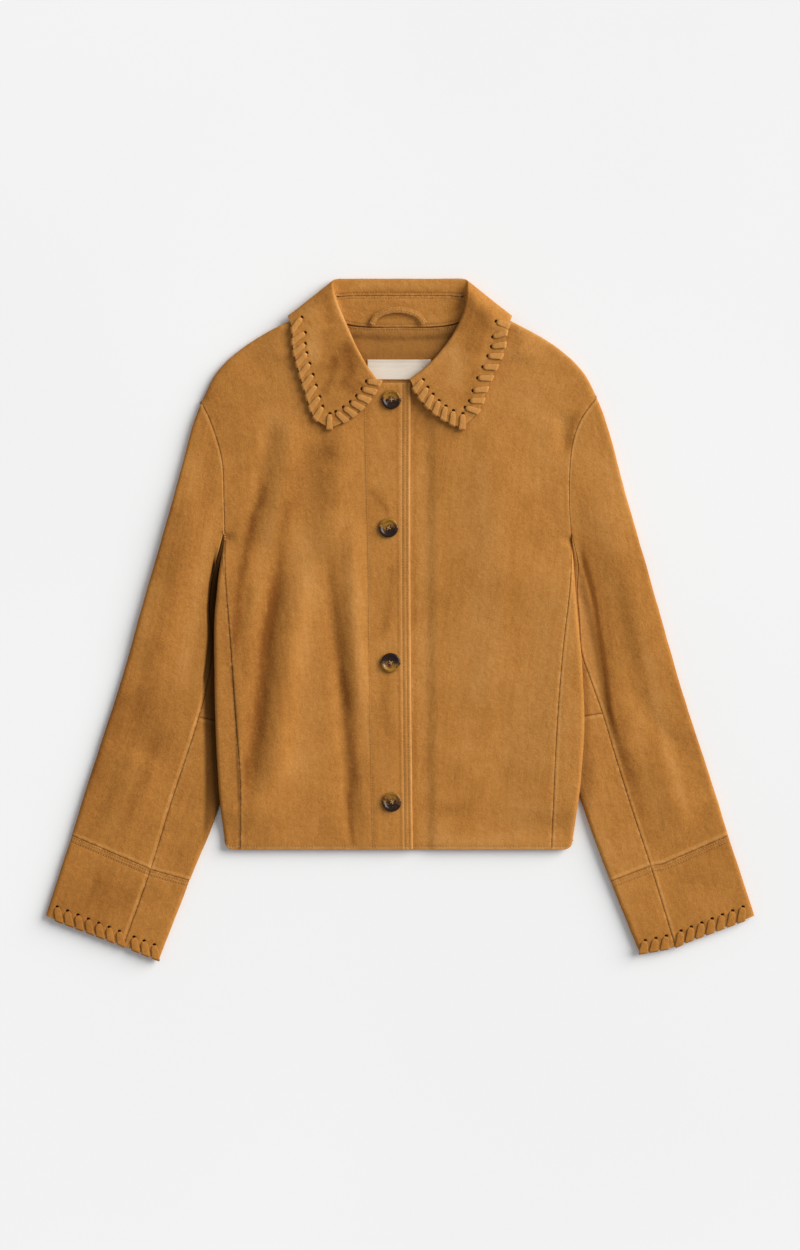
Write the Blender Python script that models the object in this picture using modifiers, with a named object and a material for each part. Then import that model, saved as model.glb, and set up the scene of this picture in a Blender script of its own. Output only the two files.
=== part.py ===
"""A short suede jacket laid flat on its back: fronts, side panels, back, two-piece sleeves with cuffs,
a collar of stand and fall with thong lacing, four buttons, a hanger loop and a bare label.

Lengths below are in millimetres. X runs across the jacket from its centre line, Y from the hem to the collar,
Z up from the surface that the back lies on. Tables give X as the distance from the centre line: SIDES turns it
to the wearer's right (-X) or left (+X).
"""
import bpy
import bmesh
from math import atan2, cos, hypot, pi, sin, sqrt
from mathutils import Matrix, Vector

MM = 0.001
SIDES = {"right": -1, "left": 1}

# ---- cloth --------------------------------------------------------------------------------------------------------
WALL = 2.0            # suede, one layer
STRIP_WALL = 1.0      # suede of the narrow strip under the arm
SEAM_GAP = 0.36       # between the pieces at a seam
LAID_TOP = 8.0        # the upper layer's outer face where nothing lifts it
FOLD_MIDDLE = 4.0     # height at which the two layers turn into each other
FOLD_REACH = 4.6      # how far in from a fold the cloth is still turning down
ROLL_STEPS = (0.0, 1.0, 3.0, 7.0)   # distances from a fold at which it is sampled
UPRIGHT = 0.22        # the middle share of a fold's height, where the cloth stands upright
STRIP_TOP = 5.0       # the sleeve's inner strip where the body lies on it
SIDE_LIFT = 5.9       # how far the body's side rises to lie on that strip
NECK_LIFT = 3.5       # how far the back neck rises to lie on the collar's fall
NECK_EASE = 0.38      # how much further apart the layers' edges are beside the neck
NECK_SETTLE = 1.5     # how much flatter the upper layer lies under the collar
DEEPEST_TROUGH = -3.2
UNDERLAP_DROP = 2.3   # the left front lies this much lower under the right front's edge

# ---- outline of the body, X from the centre line --------------------------------------------------------------------
HEM_Y = -259.3
NECK_POINT = (84, 355)
SHOULDER = {"right": [NECK_POINT, (130, 334), (177, 307), (206, 280), (224.5, 245)],
            "left": [NECK_POINT, (130, 334), (177, 307), (206, 280), (222, 251)]}
ARMHOLE = {"right": [(224.5, 245), (214.7, 225.4), (201.1, 180.2), (198.9, 135), (198, 94)],
           "left": [(222, 251), (204.5, 226.6), (195.5, 202.8), (191.4, 168.9), (191.4, 124.9), (194, 92)]}
BODY_EDGE = {"right": [(198, 94), (204, 56), (207.5, 22), (209, 4), (209.4, -40), (207.2, -141.8), (202.7, -210.7),
                       (198, -249)],
             "left": [(194, 92), (196.2, 60), (197.8, 31), (204.2, -38), (207.7, -113.6), (204.5, -175.7),
                      (197.5, -230), (195, -249)]}
FRONT_SEAM = {"right": [(198.9, 104), (197.5, 60), (191, -27.7), (185.3, -113.6), (180.2, -175.7), (180.2, HEM_Y)],
              "left": [(191.6, 104), (192.4, 50), (183.1, -36.7), (177, -115), (171.3, -239), (170.6, HEM_Y)]}
BACK_SEAM = {"right": [(199.5, 122), (181, 94), (164, 60), (156, -20), (156, -140), (156, HEM_Y)],
             "left": [(191.5, 122), (176, 94), (161, 60), (153, -20), (153, -140), (153, HEM_Y)]}
NECKLINE_FRONT = [NECK_POINT, (75, 327), (59, 298), (39, 277.5), (21, 267)]
NECKLINE_BACK = [NECK_POINT, (78, 341), (64, 333), (45, 329.8), (0, 329.4)]
RIGHT_FRONT_EDGE_X = {"top": 12.0, "hem": 14.5}     # past the centre line, on the wearer's left
LEFT_FRONT_EDGE_X = -33.0                           # under the right front
FRONT_TOP_Y = 267.0
PLACKET_X = -38.0                                   # the right front is doubled from here to its edge

# ---- sleeves: a row for each section across the sleeve --------------------------------------------------------------
# outer: share of the outer edge's length, between the armhole (0), the elbow (1), the cuff seam (2) and the hem (3).
# step: where the cloth steps down beside the body. seam: the front seam. inner: the inner fold.
SLEEVE_OUTER = [(232, 225), (254, 144), (285, 36), (316, -73), (351, -181), (370.5, -243.5), (400, -334)]
SECTION_COLUMNS = ("outer", "step_x", "step_y", "seam_x", "seam_y", "inner_x", "inner_y")
SLEEVE_SECTIONS = {
    "right": [
        (0.00, 203.0, 122, 198.9, 104, 198.0, 94),
        (0.17, 211.5, 65, 209.4, 62, 205.4, 56),
        (0.28, 216.2, 41, 214.0, 38.5, 209.7, 34),
        (0.38, 218.4, 13, 215.6, 12, 210.6, 11),
        (0.52, 218.0, -17, 211.5, -17, 206.0, -18),
        (0.65, 220.0, -40, 212.5, -42, 200.0, -46),
        (0.82, 224.5, -82, 220.0, -83, 195.0, -86),
        (1.00, 230.5, -110, 227.0, -110, 194.0, -117),
        (1.33, 246.0, -156, 242.0, -157, 196.0, -165),
        (1.58, 259.0, -194, 255.0, -196, 202.5, -205),
        (2.00, 285.5, -280, 281.6, -282, 237.3, -294.5),
        (3.00, 316.0, -366, 311.9, -367.8, 272.0, -383.5)],
    "left": [
        (0.00, 198.0, 128, 191.6, 104, 194.0, 92),
        (0.16, 208.0, 72, 202.6, 65, 198.4, 60),
        (0.28, 215.0, 37, 203.5, 34, 200.4, 32),
        (0.42, 222.0, 2, 206.0, 0, 202.2, 0),
        (0.56, 229.0, -35, 205.0, -36, 197.5, -30),
        (0.74, 234.0, -68, 215.0, -68, 193.0, -70),
        (1.00, 241.0, -104, 228.3, -105.7, 190.0, -112),
        (1.33, 256.0, -152, 243.0, -155, 192.5, -160),
        (1.60, 271.0, -197, 256.5, -199, 203.4, -202),
        (2.00, 296.0, -276, 282.5, -278, 237.3, -295.5),
        (3.00, 323.0, -363, 310.4, -369, 270.6, -376)]}
STEP_WIDTH = {"right": 2.6, "left": 11.0}     # how steeply the sleeve steps down beside the body
BACK_SEAM_SHARE = 0.35                        # of the way from the inner fold to the outer edge, underneath

# ---- folds of the cloth: soft ridges (+) and troughs (-) along short runs, X signed ---------------------------------
FOLD_COLUMNS = ("name", "rise", "width", "run")
BODY_FOLDS = [
    ("shoulder trough", -3.0, 9, [(-145, 228), (-155, 168), (-172, 85)]),
    ("shoulder ridge", 4.5, 13, [(-122, 235), (-130, 160), (-146, 80)]),
    ("long trough", -4.5, 10, [(-130, 70), (-145, 10), (-156, -70), (-164, -140), (-174, -215)]),
    ("long ridge", 5.0, 14, [(-105, 60), (-121, -20), (-133, -110), (-142, -200)]),
    ("side trough", -2.5, 8, [(-174, 40), (-182, -20)]),
    ("middle trough", -3.0, 10, [(-77, 30), (-69, -50), (-63, -150), (-52, -250)]),
    ("middle ridge", 3.5, 14, [(-55, 120), (-50, 0), (-38, -120)]),
    ("chest ridge", 3.0, 18, [(-60, 235), (-75, 140), (-80, 60)]),
    ("left armhole trough", -2.0, 9, [(183, 234), (185, 190)]),
    ("left front swell", 3.0, 30, [(105, 220), (112, 60), (105, -120)]),
]
SLEEVE_FOLDS = [
    ("right crown", 3.5, 22, [(-232, 150), (-262, 40), (-285, -60)]),
    ("right elbow dip", -2.0, 12, [(-262, -60), (-285, -110), (-318, -150)]),
    ("right forearm swell", 2.5, 20, [(-285, -150), (-318, -240)]),
    ("left crown", 3.5, 20, [(230, 150), (262, 40), (290, -60)]),
    ("left elbow dip", -1.8, 12, [(262, -70), (285, -115), (320, -150)]),
    ("left forearm swell", 2.5, 20, [(285, -150), (318, -240)]),
]

# ---- collar: a row for each section from the stand's seam over the fold to the outer edge ----------------------------
# The first three rows lie behind the neck, the fourth to sixth turn round the crease at the shoulder, the rest are the
# leaf on the front. neck: where the stand joins the body. bow: how far the section bends along the collar.
COLLAR_COLUMNS = ("neck_x", "neck_y", "seam_x", "seam_y", "fold_x", "fold_y", "edge_x", "edge_y", "bow")
COLLAR_BACK = [
    (0.0, 329.8, 0.0, 365.2, 0.0, 384.8, 0.0, 319.0, 0),
    (30.0, 330.0, 31.0, 365.2, 32.0, 384.8, 33.0, 319.0, 0),
    (56.0, 332.5, 57.0, 365.0, 60.0, 384.8, 72.0, 319.0, 0),
    (72.0, 340.0, 67.5, 364.0, 72.5, 384.0, 120.5, 334.0, 0),
    (81.0, 351.0, 71.5, 364.5, 78.0, 385.0, 126.5, 342.5, 0),
]
COLLAR_LEAF = {
    "right": [
        (80.5, 351.0, 74.5, 356.0, 74.5, 371.0, 121.5, 328.0, 0),
        (77.0, 336.0, 72.0, 342.0, 68.5, 353.0, 120.5, 306.0, 0),
        (69.0, 316.0, 65.0, 321.0, 60.0, 333.0, 114.0, 280.0, 0),
        (57.0, 295.5, 54.0, 300.0, 49.5, 309.0, 105.5, 252.0, 0),
        (42.5, 280.5, 41.5, 282.0, 37.0, 286.0, 96.5, 227.5, 3),
        (28.5, 271.5, 28.0, 263.0, 22.8, 266.5, 79.5, 215.5, 8)],
    "left": [
        (80.5, 351.0, 75.0, 356.0, 75.5, 371.0, 120.0, 326.0, 0),
        (77.0, 336.0, 74.0, 340.0, 72.5, 350.0, 117.0, 305.0, 0),
        (69.0, 316.0, 65.0, 317.0, 61.0, 323.5, 108.5, 284.0, 0),
        (57.0, 295.5, 52.0, 297.5, 46.0, 303.0, 98.5, 262.0, 0),
        (42.5, 280.5, 35.0, 279.5, 28.5, 284.5, 88.5, 235.5, 4),
        (28.5, 271.5, 15.5, 266.5, 10.0, 270.5, 70.0, 215.5, 9)]}
# Heights of the same rows, on the side that faces the neck and then out. turn: from the fold's middle to the leaf.
COLLAR_HEIGHT_COLUMNS = ("neck", "seam", "fold", "turn", "leaf", "edge")
COLLAR_HEIGHTS = [
    (5.4, 6.2, 3.1, -3.1, 0.0, 0.0),
    (5.4, 6.2, 3.1, -3.1, 0.0, 0.0),
    (5.5, 6.2, 3.1, -3.1, 0.0, 0.0),
    (6.4, 6.4, 3.8, -3.2, 0.1, 0.1),
    (8.4, 8.2, 8.3, 0.2, 8.8, 8.8),
    (10.4, 10.2, 13.3, 3.0, 16.4, 16.4),
    (10.5, 10.3, 13.2, 2.9, 16.0, 15.2),
    (10.6, 10.3, 13.1, 2.9, 15.7, 13.8),
    (10.0, 9.7, 12.3, 2.8, 14.4, 12.9),
    (8.8, 8.7, 11.5, 2.9, 13.6, 12.8),
    (8.4, 8.6, 11.5, 2.8, 13.3, 12.8),
]
FALL_WALL = 1.8
FOLD_ROOM = 3.0        # how far in from the collar's fold its two layers part
STAND_END = 9          # the stand runs out at this row
CREASE_EASE = 0.38     # share by which the stand stops short of the fall round the crease

FACING = {"wall": 1.0, "low_y": 235.0, "half": 76.0, "above_back": 0.3}
LABEL = {"x": (-37.0, 35.0), "y": (270.8, 293.0), "wall": 0.6}
LOOP = {"run": [(-32.0, 332.5), (-26.0, 342.0), (-2.3, 349.0), (21.0, 342.5), (28.0, 333.0)], "width": 6.6, "wall": 1.3,
        "on": 6.4, "arch": 1.2}
THONG = {"wide": 5.6, "in_hole": 2.2, "thick": 1.0, "clear": 1.12, "under": 1.05}
SLOT = {"long": 3.2, "wide": 2.2}
LACED_FROM = 4.4        # the collar's section where the leaf's lacing can start
# per side, for the outer edge and the front edge: the first hole's distance along it, the step between holes, and
# how far past its hole a stitch reaches the edge
COLLAR_LACING = {"inset": 13.0, "count": (9, 6), "corner": 15.0, "start": -5.0,
                 "right": {"first": (-6.5, 15.5), "pitch": (12.95, 11.6), "ahead": (9.2, 4.6)},
                 "left": {"first": (-4.5, 17.5), "pitch": (13.5, 11.6), "ahead": (-5.6, -5.5)}}
CUFF_LACING = {"inset": 12.5, "slant": 0.6}
BUTTON = {"across": 22.0, "high": 3.6, "dish": 1.1, "rim": 2.4, "hole": 1.9, "pitch": 3.4, "sides": 18}
BUTTON_PLACES = [(-9.8, 248.0), (-13.0, 103.4), (-10.6, -48.7), (-9.2, -205.6)]

MATERIALS = {  # colour, roughness
    "suede": ((0.42, 0.16, 0.04), 0.92),
    "suede_inside": ((0.27, 0.095, 0.02), 0.94),
    "thong": ((0.52, 0.24, 0.07), 0.85),
    "satin": ((0.75, 0.66, 0.56), 0.45),
    "horn": ((0.06, 0.025, 0.012), 0.2),
}


def smooth(value):
    value = min(max(value, 0.0), 1.0)
    return value * value * (3 - 2 * value)


def mix(a, b, share):
    return tuple(p + (q - p) * share for p, q in zip(a, b))


class Line:
    """A smooth curve through a few points, read by the share of its length, or by its points' own numbers."""

    STEPS = 8

    def __init__(self, points):
        self.points = [tuple(map(float, p)) for p in points]
        self.dense = []
        for i in range(len(points) - 1):
            self.dense += [self.by_index(i + k / self.STEPS) for k in range(self.STEPS)]
        self.dense.append(self.points[-1])
        self.reach = [0.0]
        for p, q in zip(self.dense, self.dense[1:]):
            self.reach.append(self.reach[-1] + (Vector(q) - Vector(p)).length)
        self.length = self.reach[-1]

    def by_index(self, number):
        last = len(self.points) - 1
        i = min(max(int(number), 0), last - 1)
        t = number - i
        p1, p2 = self.points[i], self.points[i + 1]
        p0 = self.points[i - 1] if i else tuple(2 * a - b for a, b in zip(p1, p2))
        p3 = self.points[i + 2] if i + 2 <= last else tuple(2 * b - a for a, b in zip(p1, p2))
        near, far = (max((Vector(a) - Vector(b)).length, 1e-6) for a, b in ((p0, p1), (p2, p3)))
        span = max((Vector(p2) - Vector(p1)).length, 1e-6)
        out = []
        for a, b, c, d in zip(p0, p1, p2, p3):
            start = ((b - a) / near + (c - b) / span) / 2 * span
            end = ((c - b) / span + (d - c) / far) / 2 * span
            h = t * t * (3 - 2 * t)
            out.append(b * (1 - h) + c * h + start * t * (1 - t) ** 2 - end * t * t * (1 - t))
        return tuple(out)

    def at(self, share):
        want = min(max(share, 0.0), 1.0) * self.length
        i = next((k for k in range(1, len(self.reach)) if self.reach[k] >= want), len(self.reach) - 1)
        span = self.reach[i] - self.reach[i - 1]
        return mix(self.dense[i - 1], self.dense[i], (want - self.reach[i - 1]) / span if span else 0)

    def x_at(self, y):
        """X where the line passes Y, for a line that runs along Y."""
        for p, q in zip(self.dense, self.dense[1:]):
            if (p[1] - y) * (q[1] - y) <= 0 and p[1] != q[1]:
                return p[0] + (q[0] - p[0]) * (y - p[1]) / (q[1] - p[1])
        return self.dense[0][0] if abs(y - self.dense[0][1]) < abs(y - self.dense[-1][1]) else self.dense[-1][0]

    def distance(self, x, y):
        """Distance in plan, and the share of the length at the nearest place."""
        best = (1e9, 0.0)
        for k, (p, q) in enumerate(zip(self.dense, self.dense[1:])):
            dx, dy = q[0] - p[0], q[1] - p[1]
            t = min(max(((x - p[0]) * dx + (y - p[1]) * dy) / max(dx * dx + dy * dy, 1e-9), 0), 1)
            gap = hypot(x - p[0] - dx * t, y - p[1] - dy * t)
            if gap < best[0]:
                best = (gap, (self.reach[k] + t * (self.reach[k + 1] - self.reach[k])) / self.length)
        return best


LINES = {name: {side: Line(table[side]) for side in SIDES} for name, table in {
    "shoulder": SHOULDER, "armhole": ARMHOLE, "body_edge": BODY_EDGE, "front_seam": FRONT_SEAM,
    "back_seam": BACK_SEAM}.items()}
NECK_FRONT, NECK_BACK = Line(NECKLINE_FRONT), Line(NECKLINE_BACK)
SLEEVE_EDGE = {side: Line([SHOULDER[side][-1]] + SLEEVE_OUTER) for side in SIDES}
FOLDS = {kind: [(rise, width, Line(run)) for _, rise, width, run in table]
         for kind, table in {"body": BODY_FOLDS, "sleeve": SLEEVE_FOLDS}.items()}


# ---- heights --------------------------------------------------------------------------------------------------------
def roll(distance, reach=FOLD_REACH):
    """Share of the full height that cloth has at a distance from the fold it turns down to."""
    share = min(max(distance / reach, 0.0), 1.0)
    return UPRIGHT + (1 - UPRIGHT) * sqrt(1 - (1 - share) ** 2)


def fold_rise(kind, x, y):
    """Ridges and troughs, which die out under the collar and on the doubled front edge."""
    total = 0.0
    calm = smooth((262 - y) / 44) * smooth((abs(x) - 20) / 34)
    for rise, width, line in FOLDS[kind]:
        gap, share = line.distance(x, y)
        if gap < 3 * width:
            total += rise * 2.718 ** (-(gap / width) ** 2) * smooth(share * 4 + 0.25) * smooth((1 - share) * 4 + 0.25)
    return max(total * calm, DEEPEST_TROUGH)


def lift(side, x, y, layer="bottom"):
    """How far a layer of the body is raised by the sleeve's strip and by the collar's fall beneath it."""
    edge = LINES["body_edge"][side].x_at(y)
    along = smooth((88 - y) / 62) * smooth((y + 242) / 32)
    across = smooth((x - edge + 40) / 22) if layer == "bottom" else smooth((x - edge + 100) / 90)
    neck = smooth((y - 286) / 17) * smooth((168 - x) / 34)
    return SIDE_LIFT * along * across + NECK_LIFT * neck


def body_roll(side, x, y):
    edge = LINES["body_edge"][side]
    gap = edge.x_at(y) - x if y < ARMHOLE[side][-1][1] else hypot(x - edge.points[0][0], y - edge.points[0][1])
    turned = roll(gap)
    if y > 200:
        turned *= roll(LINES["shoulder"][side].distance(x, y)[0])
    return turned


def body_top(side, x, y):
    """Outer face of the upper layer, X as the distance from the centre line."""
    full = LAID_TOP - FOLD_MIDDLE + fold_rise("body", x * SIDES[side], y)
    if y > 286:
        clear = LINES["shoulder"][side].distance(x, y)[0] - 2
        full -= NECK_SETTLE * smooth((y - 286) / 18) * smooth((140 - x) / 20) * smooth(clear / 8)
    height = lift(side, x, y, "top") + FOLD_MIDDLE + full * body_roll(side, x, y)
    height += NECK_EASE * smooth((y - 335) / 10) * smooth((115 - x) / 20)
    if side == "left":
        height -= UNDERLAP_DROP * smooth((RIGHT_FRONT_EDGE_X["hem"] + 28 - x) / 14)
    return height


def body_bottom(side, x, y):
    return lift(side, x, y) + FOLD_MIDDLE * (1 - body_roll(side, x, y))


def sleeve_top(side, x, y, to_step):
    """Outer face of the sleeve's upper layer. to_step: distance outward past the step line."""
    edge = LINES["body_edge"][side].x_at(y)
    beside = smooth(to_step / STEP_WIDTH[side] + 1)
    clear = smooth((x - edge - 2) / 14)
    low_down = smooth((-95 - y) / 40) if side == "right" else smooth((-120 - y) / 60)
    raised = beside * (1 - low_down) + clear * low_down
    near_armhole = smooth((y - 30) / 50)
    raised = raised + (1 - raised) * near_armhole
    return STRIP_TOP + (LAID_TOP + fold_rise("sleeve", x * SIDES[side], y) - STRIP_TOP) * raised


# ---- meshes ---------------------------------------------------------------------------------------------------------
def collection(name):
    made = bpy.data.collections.new(name)
    bpy.context.scene.collection.children.link(made)
    return made


def material(name):
    found = bpy.data.materials.get(name)
    if found:
        return found
    colour, roughness = MATERIALS[name]
    made = bpy.data.materials.new(name)
    made.use_nodes = True
    shader = made.node_tree.nodes["Principled BSDF"]
    shader.inputs["Base Color"].default_value = (*colour, 1)
    shader.inputs["Roughness"].default_value = roughness
    return made


def add_object(name, mesh, slot, home="jacket"):
    made = bpy.data.objects.new(name, mesh)
    mesh.materials.append(material(slot))
    mesh.shade_smooth()
    bpy.data.collections[home].objects.link(made)
    return made


def trim(rows, room=SEAM_GAP / 2):
    """Pulls a grid's four sides in by half a seam gap, so that neighbouring pieces stay apart."""
    def pulled(edge, inner):
        way = Vector(inner) - Vector(edge)
        return tuple(Vector(edge) + way * min(room / max(way.length, 1e-6), 0.5))

    rows = [[pulled(row[0], row[1])] + row[1:-1] + [pulled(row[-1], row[-2])] for row in rows]
    first = [pulled(a, b) for a, b in zip(rows[0], rows[1])]
    last = [pulled(a, b) for a, b in zip(rows[-1], rows[-2])]
    return [first] + rows[1:-1] + [last]


def parted(rows, picked, room, lower=0.0, seam=0):
    """Pulls the front seam's side of some rows further in and down, where the two pieces slope differently."""
    beside = 1 if seam == 0 else -2
    for k in picked:
        way = Vector(rows[k][beside]) - Vector(rows[k][seam])
        x, y, z = Vector(rows[k][seam]) + way * min(room / way.length, 0.6)
        rows[k][seam] = (x, y, z - lower)
        rows[k][beside] = tuple(Vector(rows[k][beside]) - Vector((0, 0, lower * 0.6)))
    return rows


def cloth(name, rows, slot="suede", wall=WALL, flip=False, closed=False):
    """A panel: rows of points on its outer face, given a wall on their inner side."""
    bm = bmesh.new()
    columns = len(rows[0])
    bmesh.ops.create_grid(bm, x_segments=len(rows) - 1, y_segments=columns - 1, size=1)
    bm.verts.ensure_lookup_table()
    for i, vert in enumerate(sorted(bm.verts, key=lambda v: (round(v.co.x, 5), round(v.co.y, 5)))):
        vert.co = Vector(rows[i // columns][i % columns]) * MM
    if flip:
        bmesh.ops.reverse_faces(bm, faces=bm.faces)
    mesh = bpy.data.meshes.new(name)
    bm.to_mesh(mesh)
    bm.free()
    made = add_object(name, mesh, slot)
    solid = made.modifiers.new("wall", "SOLIDIFY")
    solid.thickness = wall * MM
    solid.offset = -1
    return made


def signed(side, point):
    return (point[0] * SIDES[side],) + tuple(point[1:])


def spaced(count, start=0.0, end=1.0):
    return [start + (end - start) * i / count for i in range(count + 1)]


# ---- seam points that two pieces share --------------------------------------------------------------------------------
ARMHOLE_STEPS = 9
FRONT_SEAM_AT, BACK_SEAM_AT = 12, 11        # which armhole points the two side seams start from
UNDERNEATH = (0, 1, 2, 3, 5, 7, 9, 11, 12, 13, 14, 15)   # which armhole points the flat underside uses
SHOULDER_STEPS = 7
NECK_STEPS = 4
TOP_STEPS = 2
SIDE_STEPS = 9


def armhole_points(side, face):
    """From the shoulder to the underarm, on the outer face of the upper (top) or lower (bottom) layer."""
    line = LINES["armhole"][side]
    ends = [step / line.length for step in ROLL_STEPS]
    shares = ends[:-1] + spaced(ARMHOLE_STEPS, ends[-1], 1 - ends[-1]) + [1 - e for e in ends[-2::-1]]
    found = []
    for share in shares:
        x, y = line.at(share)
        turned = roll(share * line.length) * roll((1 - share) * line.length)
        flat = LAID_TOP + fold_rise("body", x * SIDES[side], y) * smooth(share * 8) * smooth((1 - share) * 8)
        z = FOLD_MIDDLE + (flat - FOLD_MIDDLE) * turned if face == "top" else FOLD_MIDDLE * (1 - turned)
        found.append((x, y, z))
    return found


def seam_points(side, which, face, steps):
    """A side seam from the hem up to its armhole point."""
    start = armhole_points(side, face)[FRONT_SEAM_AT if which == "front_seam" else BACK_SEAM_AT]
    line = Line([start[:2]] + LINES[which][side].points[1:])
    height = body_top if face == "top" else body_bottom
    found = []
    for share in spaced(steps, 1, 0):
        x, y = line.at(share)
        found.append((x, y, height(side, x, y)))
    found[-1] = start
    return found


def shares_of(points):
    reach = [0.0]
    for p, q in zip(points, points[1:]):
        reach.append(reach[-1] + hypot(q[0] - p[0], q[1] - p[1]))
    return [r / reach[-1] for r in reach]


def on_run(points, share):
    """A place on a run of straight steps, by the share of its length in plan."""
    reach = shares_of(points)
    k = next((i for i in range(1, len(reach) - 1) if reach[i] >= share), len(reach) - 1)
    return mix(points[k - 1], points[k], (share - reach[k - 1]) / (reach[k] - reach[k - 1]))


def coons(sides, shares, i, j):
    """Plan point of a patch: its left and right sides run up, its bottom and top run across."""
    left, right, bottom, top = sides
    u, v = shares[0][i], shares[1][j]
    across = mix(bottom[i][:2], top[i][:2], v)
    along = mix(left[j][:2], right[j][:2], u)
    corners = mix(mix(bottom[0][:2], bottom[-1][:2], u), mix(top[0][:2], top[-1][:2], u), v)
    return tuple(a + b - c for a, b, c in zip(across, along, corners))


def finish_top(rows, on_shoulder, middle):
    """Adds the last row: upright at the shoulder's fold, and a hair further in plan elsewhere."""
    last = rows[-1]
    rows.append([(x, y, middle(x, y)) if on_shoulder[i] else (x, y, z) for i, (x, y, z) in enumerate(last)])
    rows[-2] = [p if on_shoulder[i] else tuple(Vector(p) + (Vector(rows[-3][i]) - Vector(p)).normalized())
                for i, p in enumerate(last)]


# ---- body -----------------------------------------------------------------------------------------------------------
def front(side):
    seam = seam_points(side, "front_seam", "top", SIDE_STEPS)
    armhole = armhole_points(side, "top")[FRONT_SEAM_AT::-1]
    left = seam + armhole[1:]
    rows_at = shares_of(left)
    edge_top, edge_hem = ((-RIGHT_FRONT_EDGE_X["top"], -RIGHT_FRONT_EDGE_X["hem"]) if side == "right"
                          else (LEFT_FRONT_EDGE_X, LEFT_FRONT_EDGE_X))
    shoulder = [LINES["shoulder"][side].at(s) for s in spaced(SHOULDER_STEPS, 1, 0)]
    neckline = [NECK_FRONT.at(s) for s in spaced(NECK_STEPS)]
    corner = NECKLINE_FRONT[-1]
    steps = TOP_STEPS + (0 if side == "right" else 1)
    edge = [mix(corner, (edge_top, FRONT_TOP_Y), s) for s in spaced(steps)]
    top = shoulder + neckline[1:] + edge[1:]
    across = [(p[0] - top[0][0]) / (top[-1][0] - top[0][0]) for p in top]
    bottom = [mix(left[0][:2], (edge_hem, HEM_Y), u) for u in across]
    right = [mix(bottom[-1], top[-1], v) for v in rows_at]
    rows = []
    for j in range(len(rows_at)):
        row = [coons((left, right, bottom, top), (across, rows_at), i, j) for i in range(len(across))]
        rows.append([(x, y, body_top(side, x, y)) for x, y in row])
        rows[-1][0] = left[j]
    on_shoulder = [i <= SHOULDER_STEPS for i in range(len(across))]
    finish_top(rows, on_shoulder, lambda x, y: FOLD_MIDDLE + lift(side, x, y) + NECK_EASE * smooth((140 - x) / 30))
    rows = [[signed(side, p) for p in row] for row in rows]
    rows = parted(trim(rows), range(SIDE_STEPS - 2, SIDE_STEPS + 3), 0.9)
    return cloth(f"front_{side}", rows, flip=side == "right")


def back():
    halves = {}
    for side in SIDES:
        seam = seam_points(side, "back_seam", "bottom", SIDE_STEPS)
        armhole = armhole_points(side, "bottom")
        edge = seam + [armhole[k] for k in UNDERNEATH[::-1] if k < BACK_SEAM_AT]
        shoulder = [LINES["shoulder"][side].at(s) for s in spaced(SHOULDER_STEPS, 1, 0)]
        neckline = [NECK_BACK.at(s) for s in spaced(NECK_STEPS)]
        halves[side] = (edge, shoulder + neckline[1:])
    left, right = ([signed(side, p) for p in halves[side][0]] for side in SIDES)
    top = [signed("right", p) for p in halves["right"][1]] + [signed("left", p) for p in halves["left"][1][-2::-1]]
    across = [(p[0] - top[0][0]) / (top[-1][0] - top[0][0]) for p in top]
    rows_at = shares_of(left)
    bottom = [mix(left[0][:2], right[0][:2], u) for u in across]
    rows = []
    for j in range(len(rows_at)):
        row = [coons((left, right, bottom, top), (across, rows_at), i, j) for i in range(len(across))]
        rows.append([(x, y, body_bottom("right" if x < 0 else "left", abs(x), y)) for x, y in row])
        rows[-1][0], rows[-1][-1] = left[j], right[j]
    on_shoulder = [min(i, len(across) - 1 - i) <= SHOULDER_STEPS for i in range(len(across))]
    finish_top(rows, on_shoulder,
               lambda x, y: FOLD_MIDDLE + lift("right", abs(x), y) - NECK_EASE * smooth((140 - abs(x)) / 30))
    cloth("back_panel", trim(rows))
    return rows


HEM_CORNER = 10.0      # radius of the hem's corner at the body's side


def side_panel(side):
    front_seam = seam_points(side, "front_seam", "top", SIDE_STEPS)
    back_seam = seam_points(side, "back_seam", "bottom", SIDE_STEPS)
    edge = LINES["body_edge"][side]
    under_y = ARMHOLE[side][-1][1]
    rows = []
    for j, (f, b) in enumerate(zip(front_seam, back_seam)):
        up = (f[1] - HEM_Y) / (front_seam[-1][1] - HEM_Y)
        y = HEM_Y + HEM_CORNER * (1 - up) + (under_y - HEM_Y - HEM_CORNER * (1 - up)) * up
        e = (edge.x_at(y), y)

        def points(seam, extra):
            reach = hypot(e[0] - seam[0], e[1] - seam[1])
            steps = [step * min(1, (reach - 0.8) / ROLL_STEPS[-1]) for step in ROLL_STEPS]
            shares = [s / reach for s in steps]
            return [mix(e, seam[:2], s) for s in shares + spaced(extra, shares[-1], 1)[1:]]

        upper = [(*p, body_top(side, *p)) for p in points(f, 2)]
        lower = [(*p, body_bottom(side, *p)) for p in points(b, 3)]
        if j == len(front_seam) - 1:
            upper = [(x, y, FOLD_MIDDLE * (1 + roll(hypot(x - e[0], y - e[1])))) for x, y, _ in upper]
        if j == 0:
            turn = [max(0.0, (x - e[0]) / HEM_CORNER + 1) for x, _, _ in upper + lower]
            bent = [(x, HEM_Y + HEM_CORNER * (1 - sqrt(1 - t * t)), z)
                    for t, (x, _, z) in zip(turn, upper + lower)]
            upper, lower = bent[:len(upper)], bent[len(upper):]
        upper[-1], lower[-1] = f, b
        rows.append([signed(side, p) for p in upper[::-1] + lower])
    rows = parted(trim(rows, 0.3), range(-4, 0), 1.1)
    return cloth(f"side_panel_{side}", rows, flip=side == "left")


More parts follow.
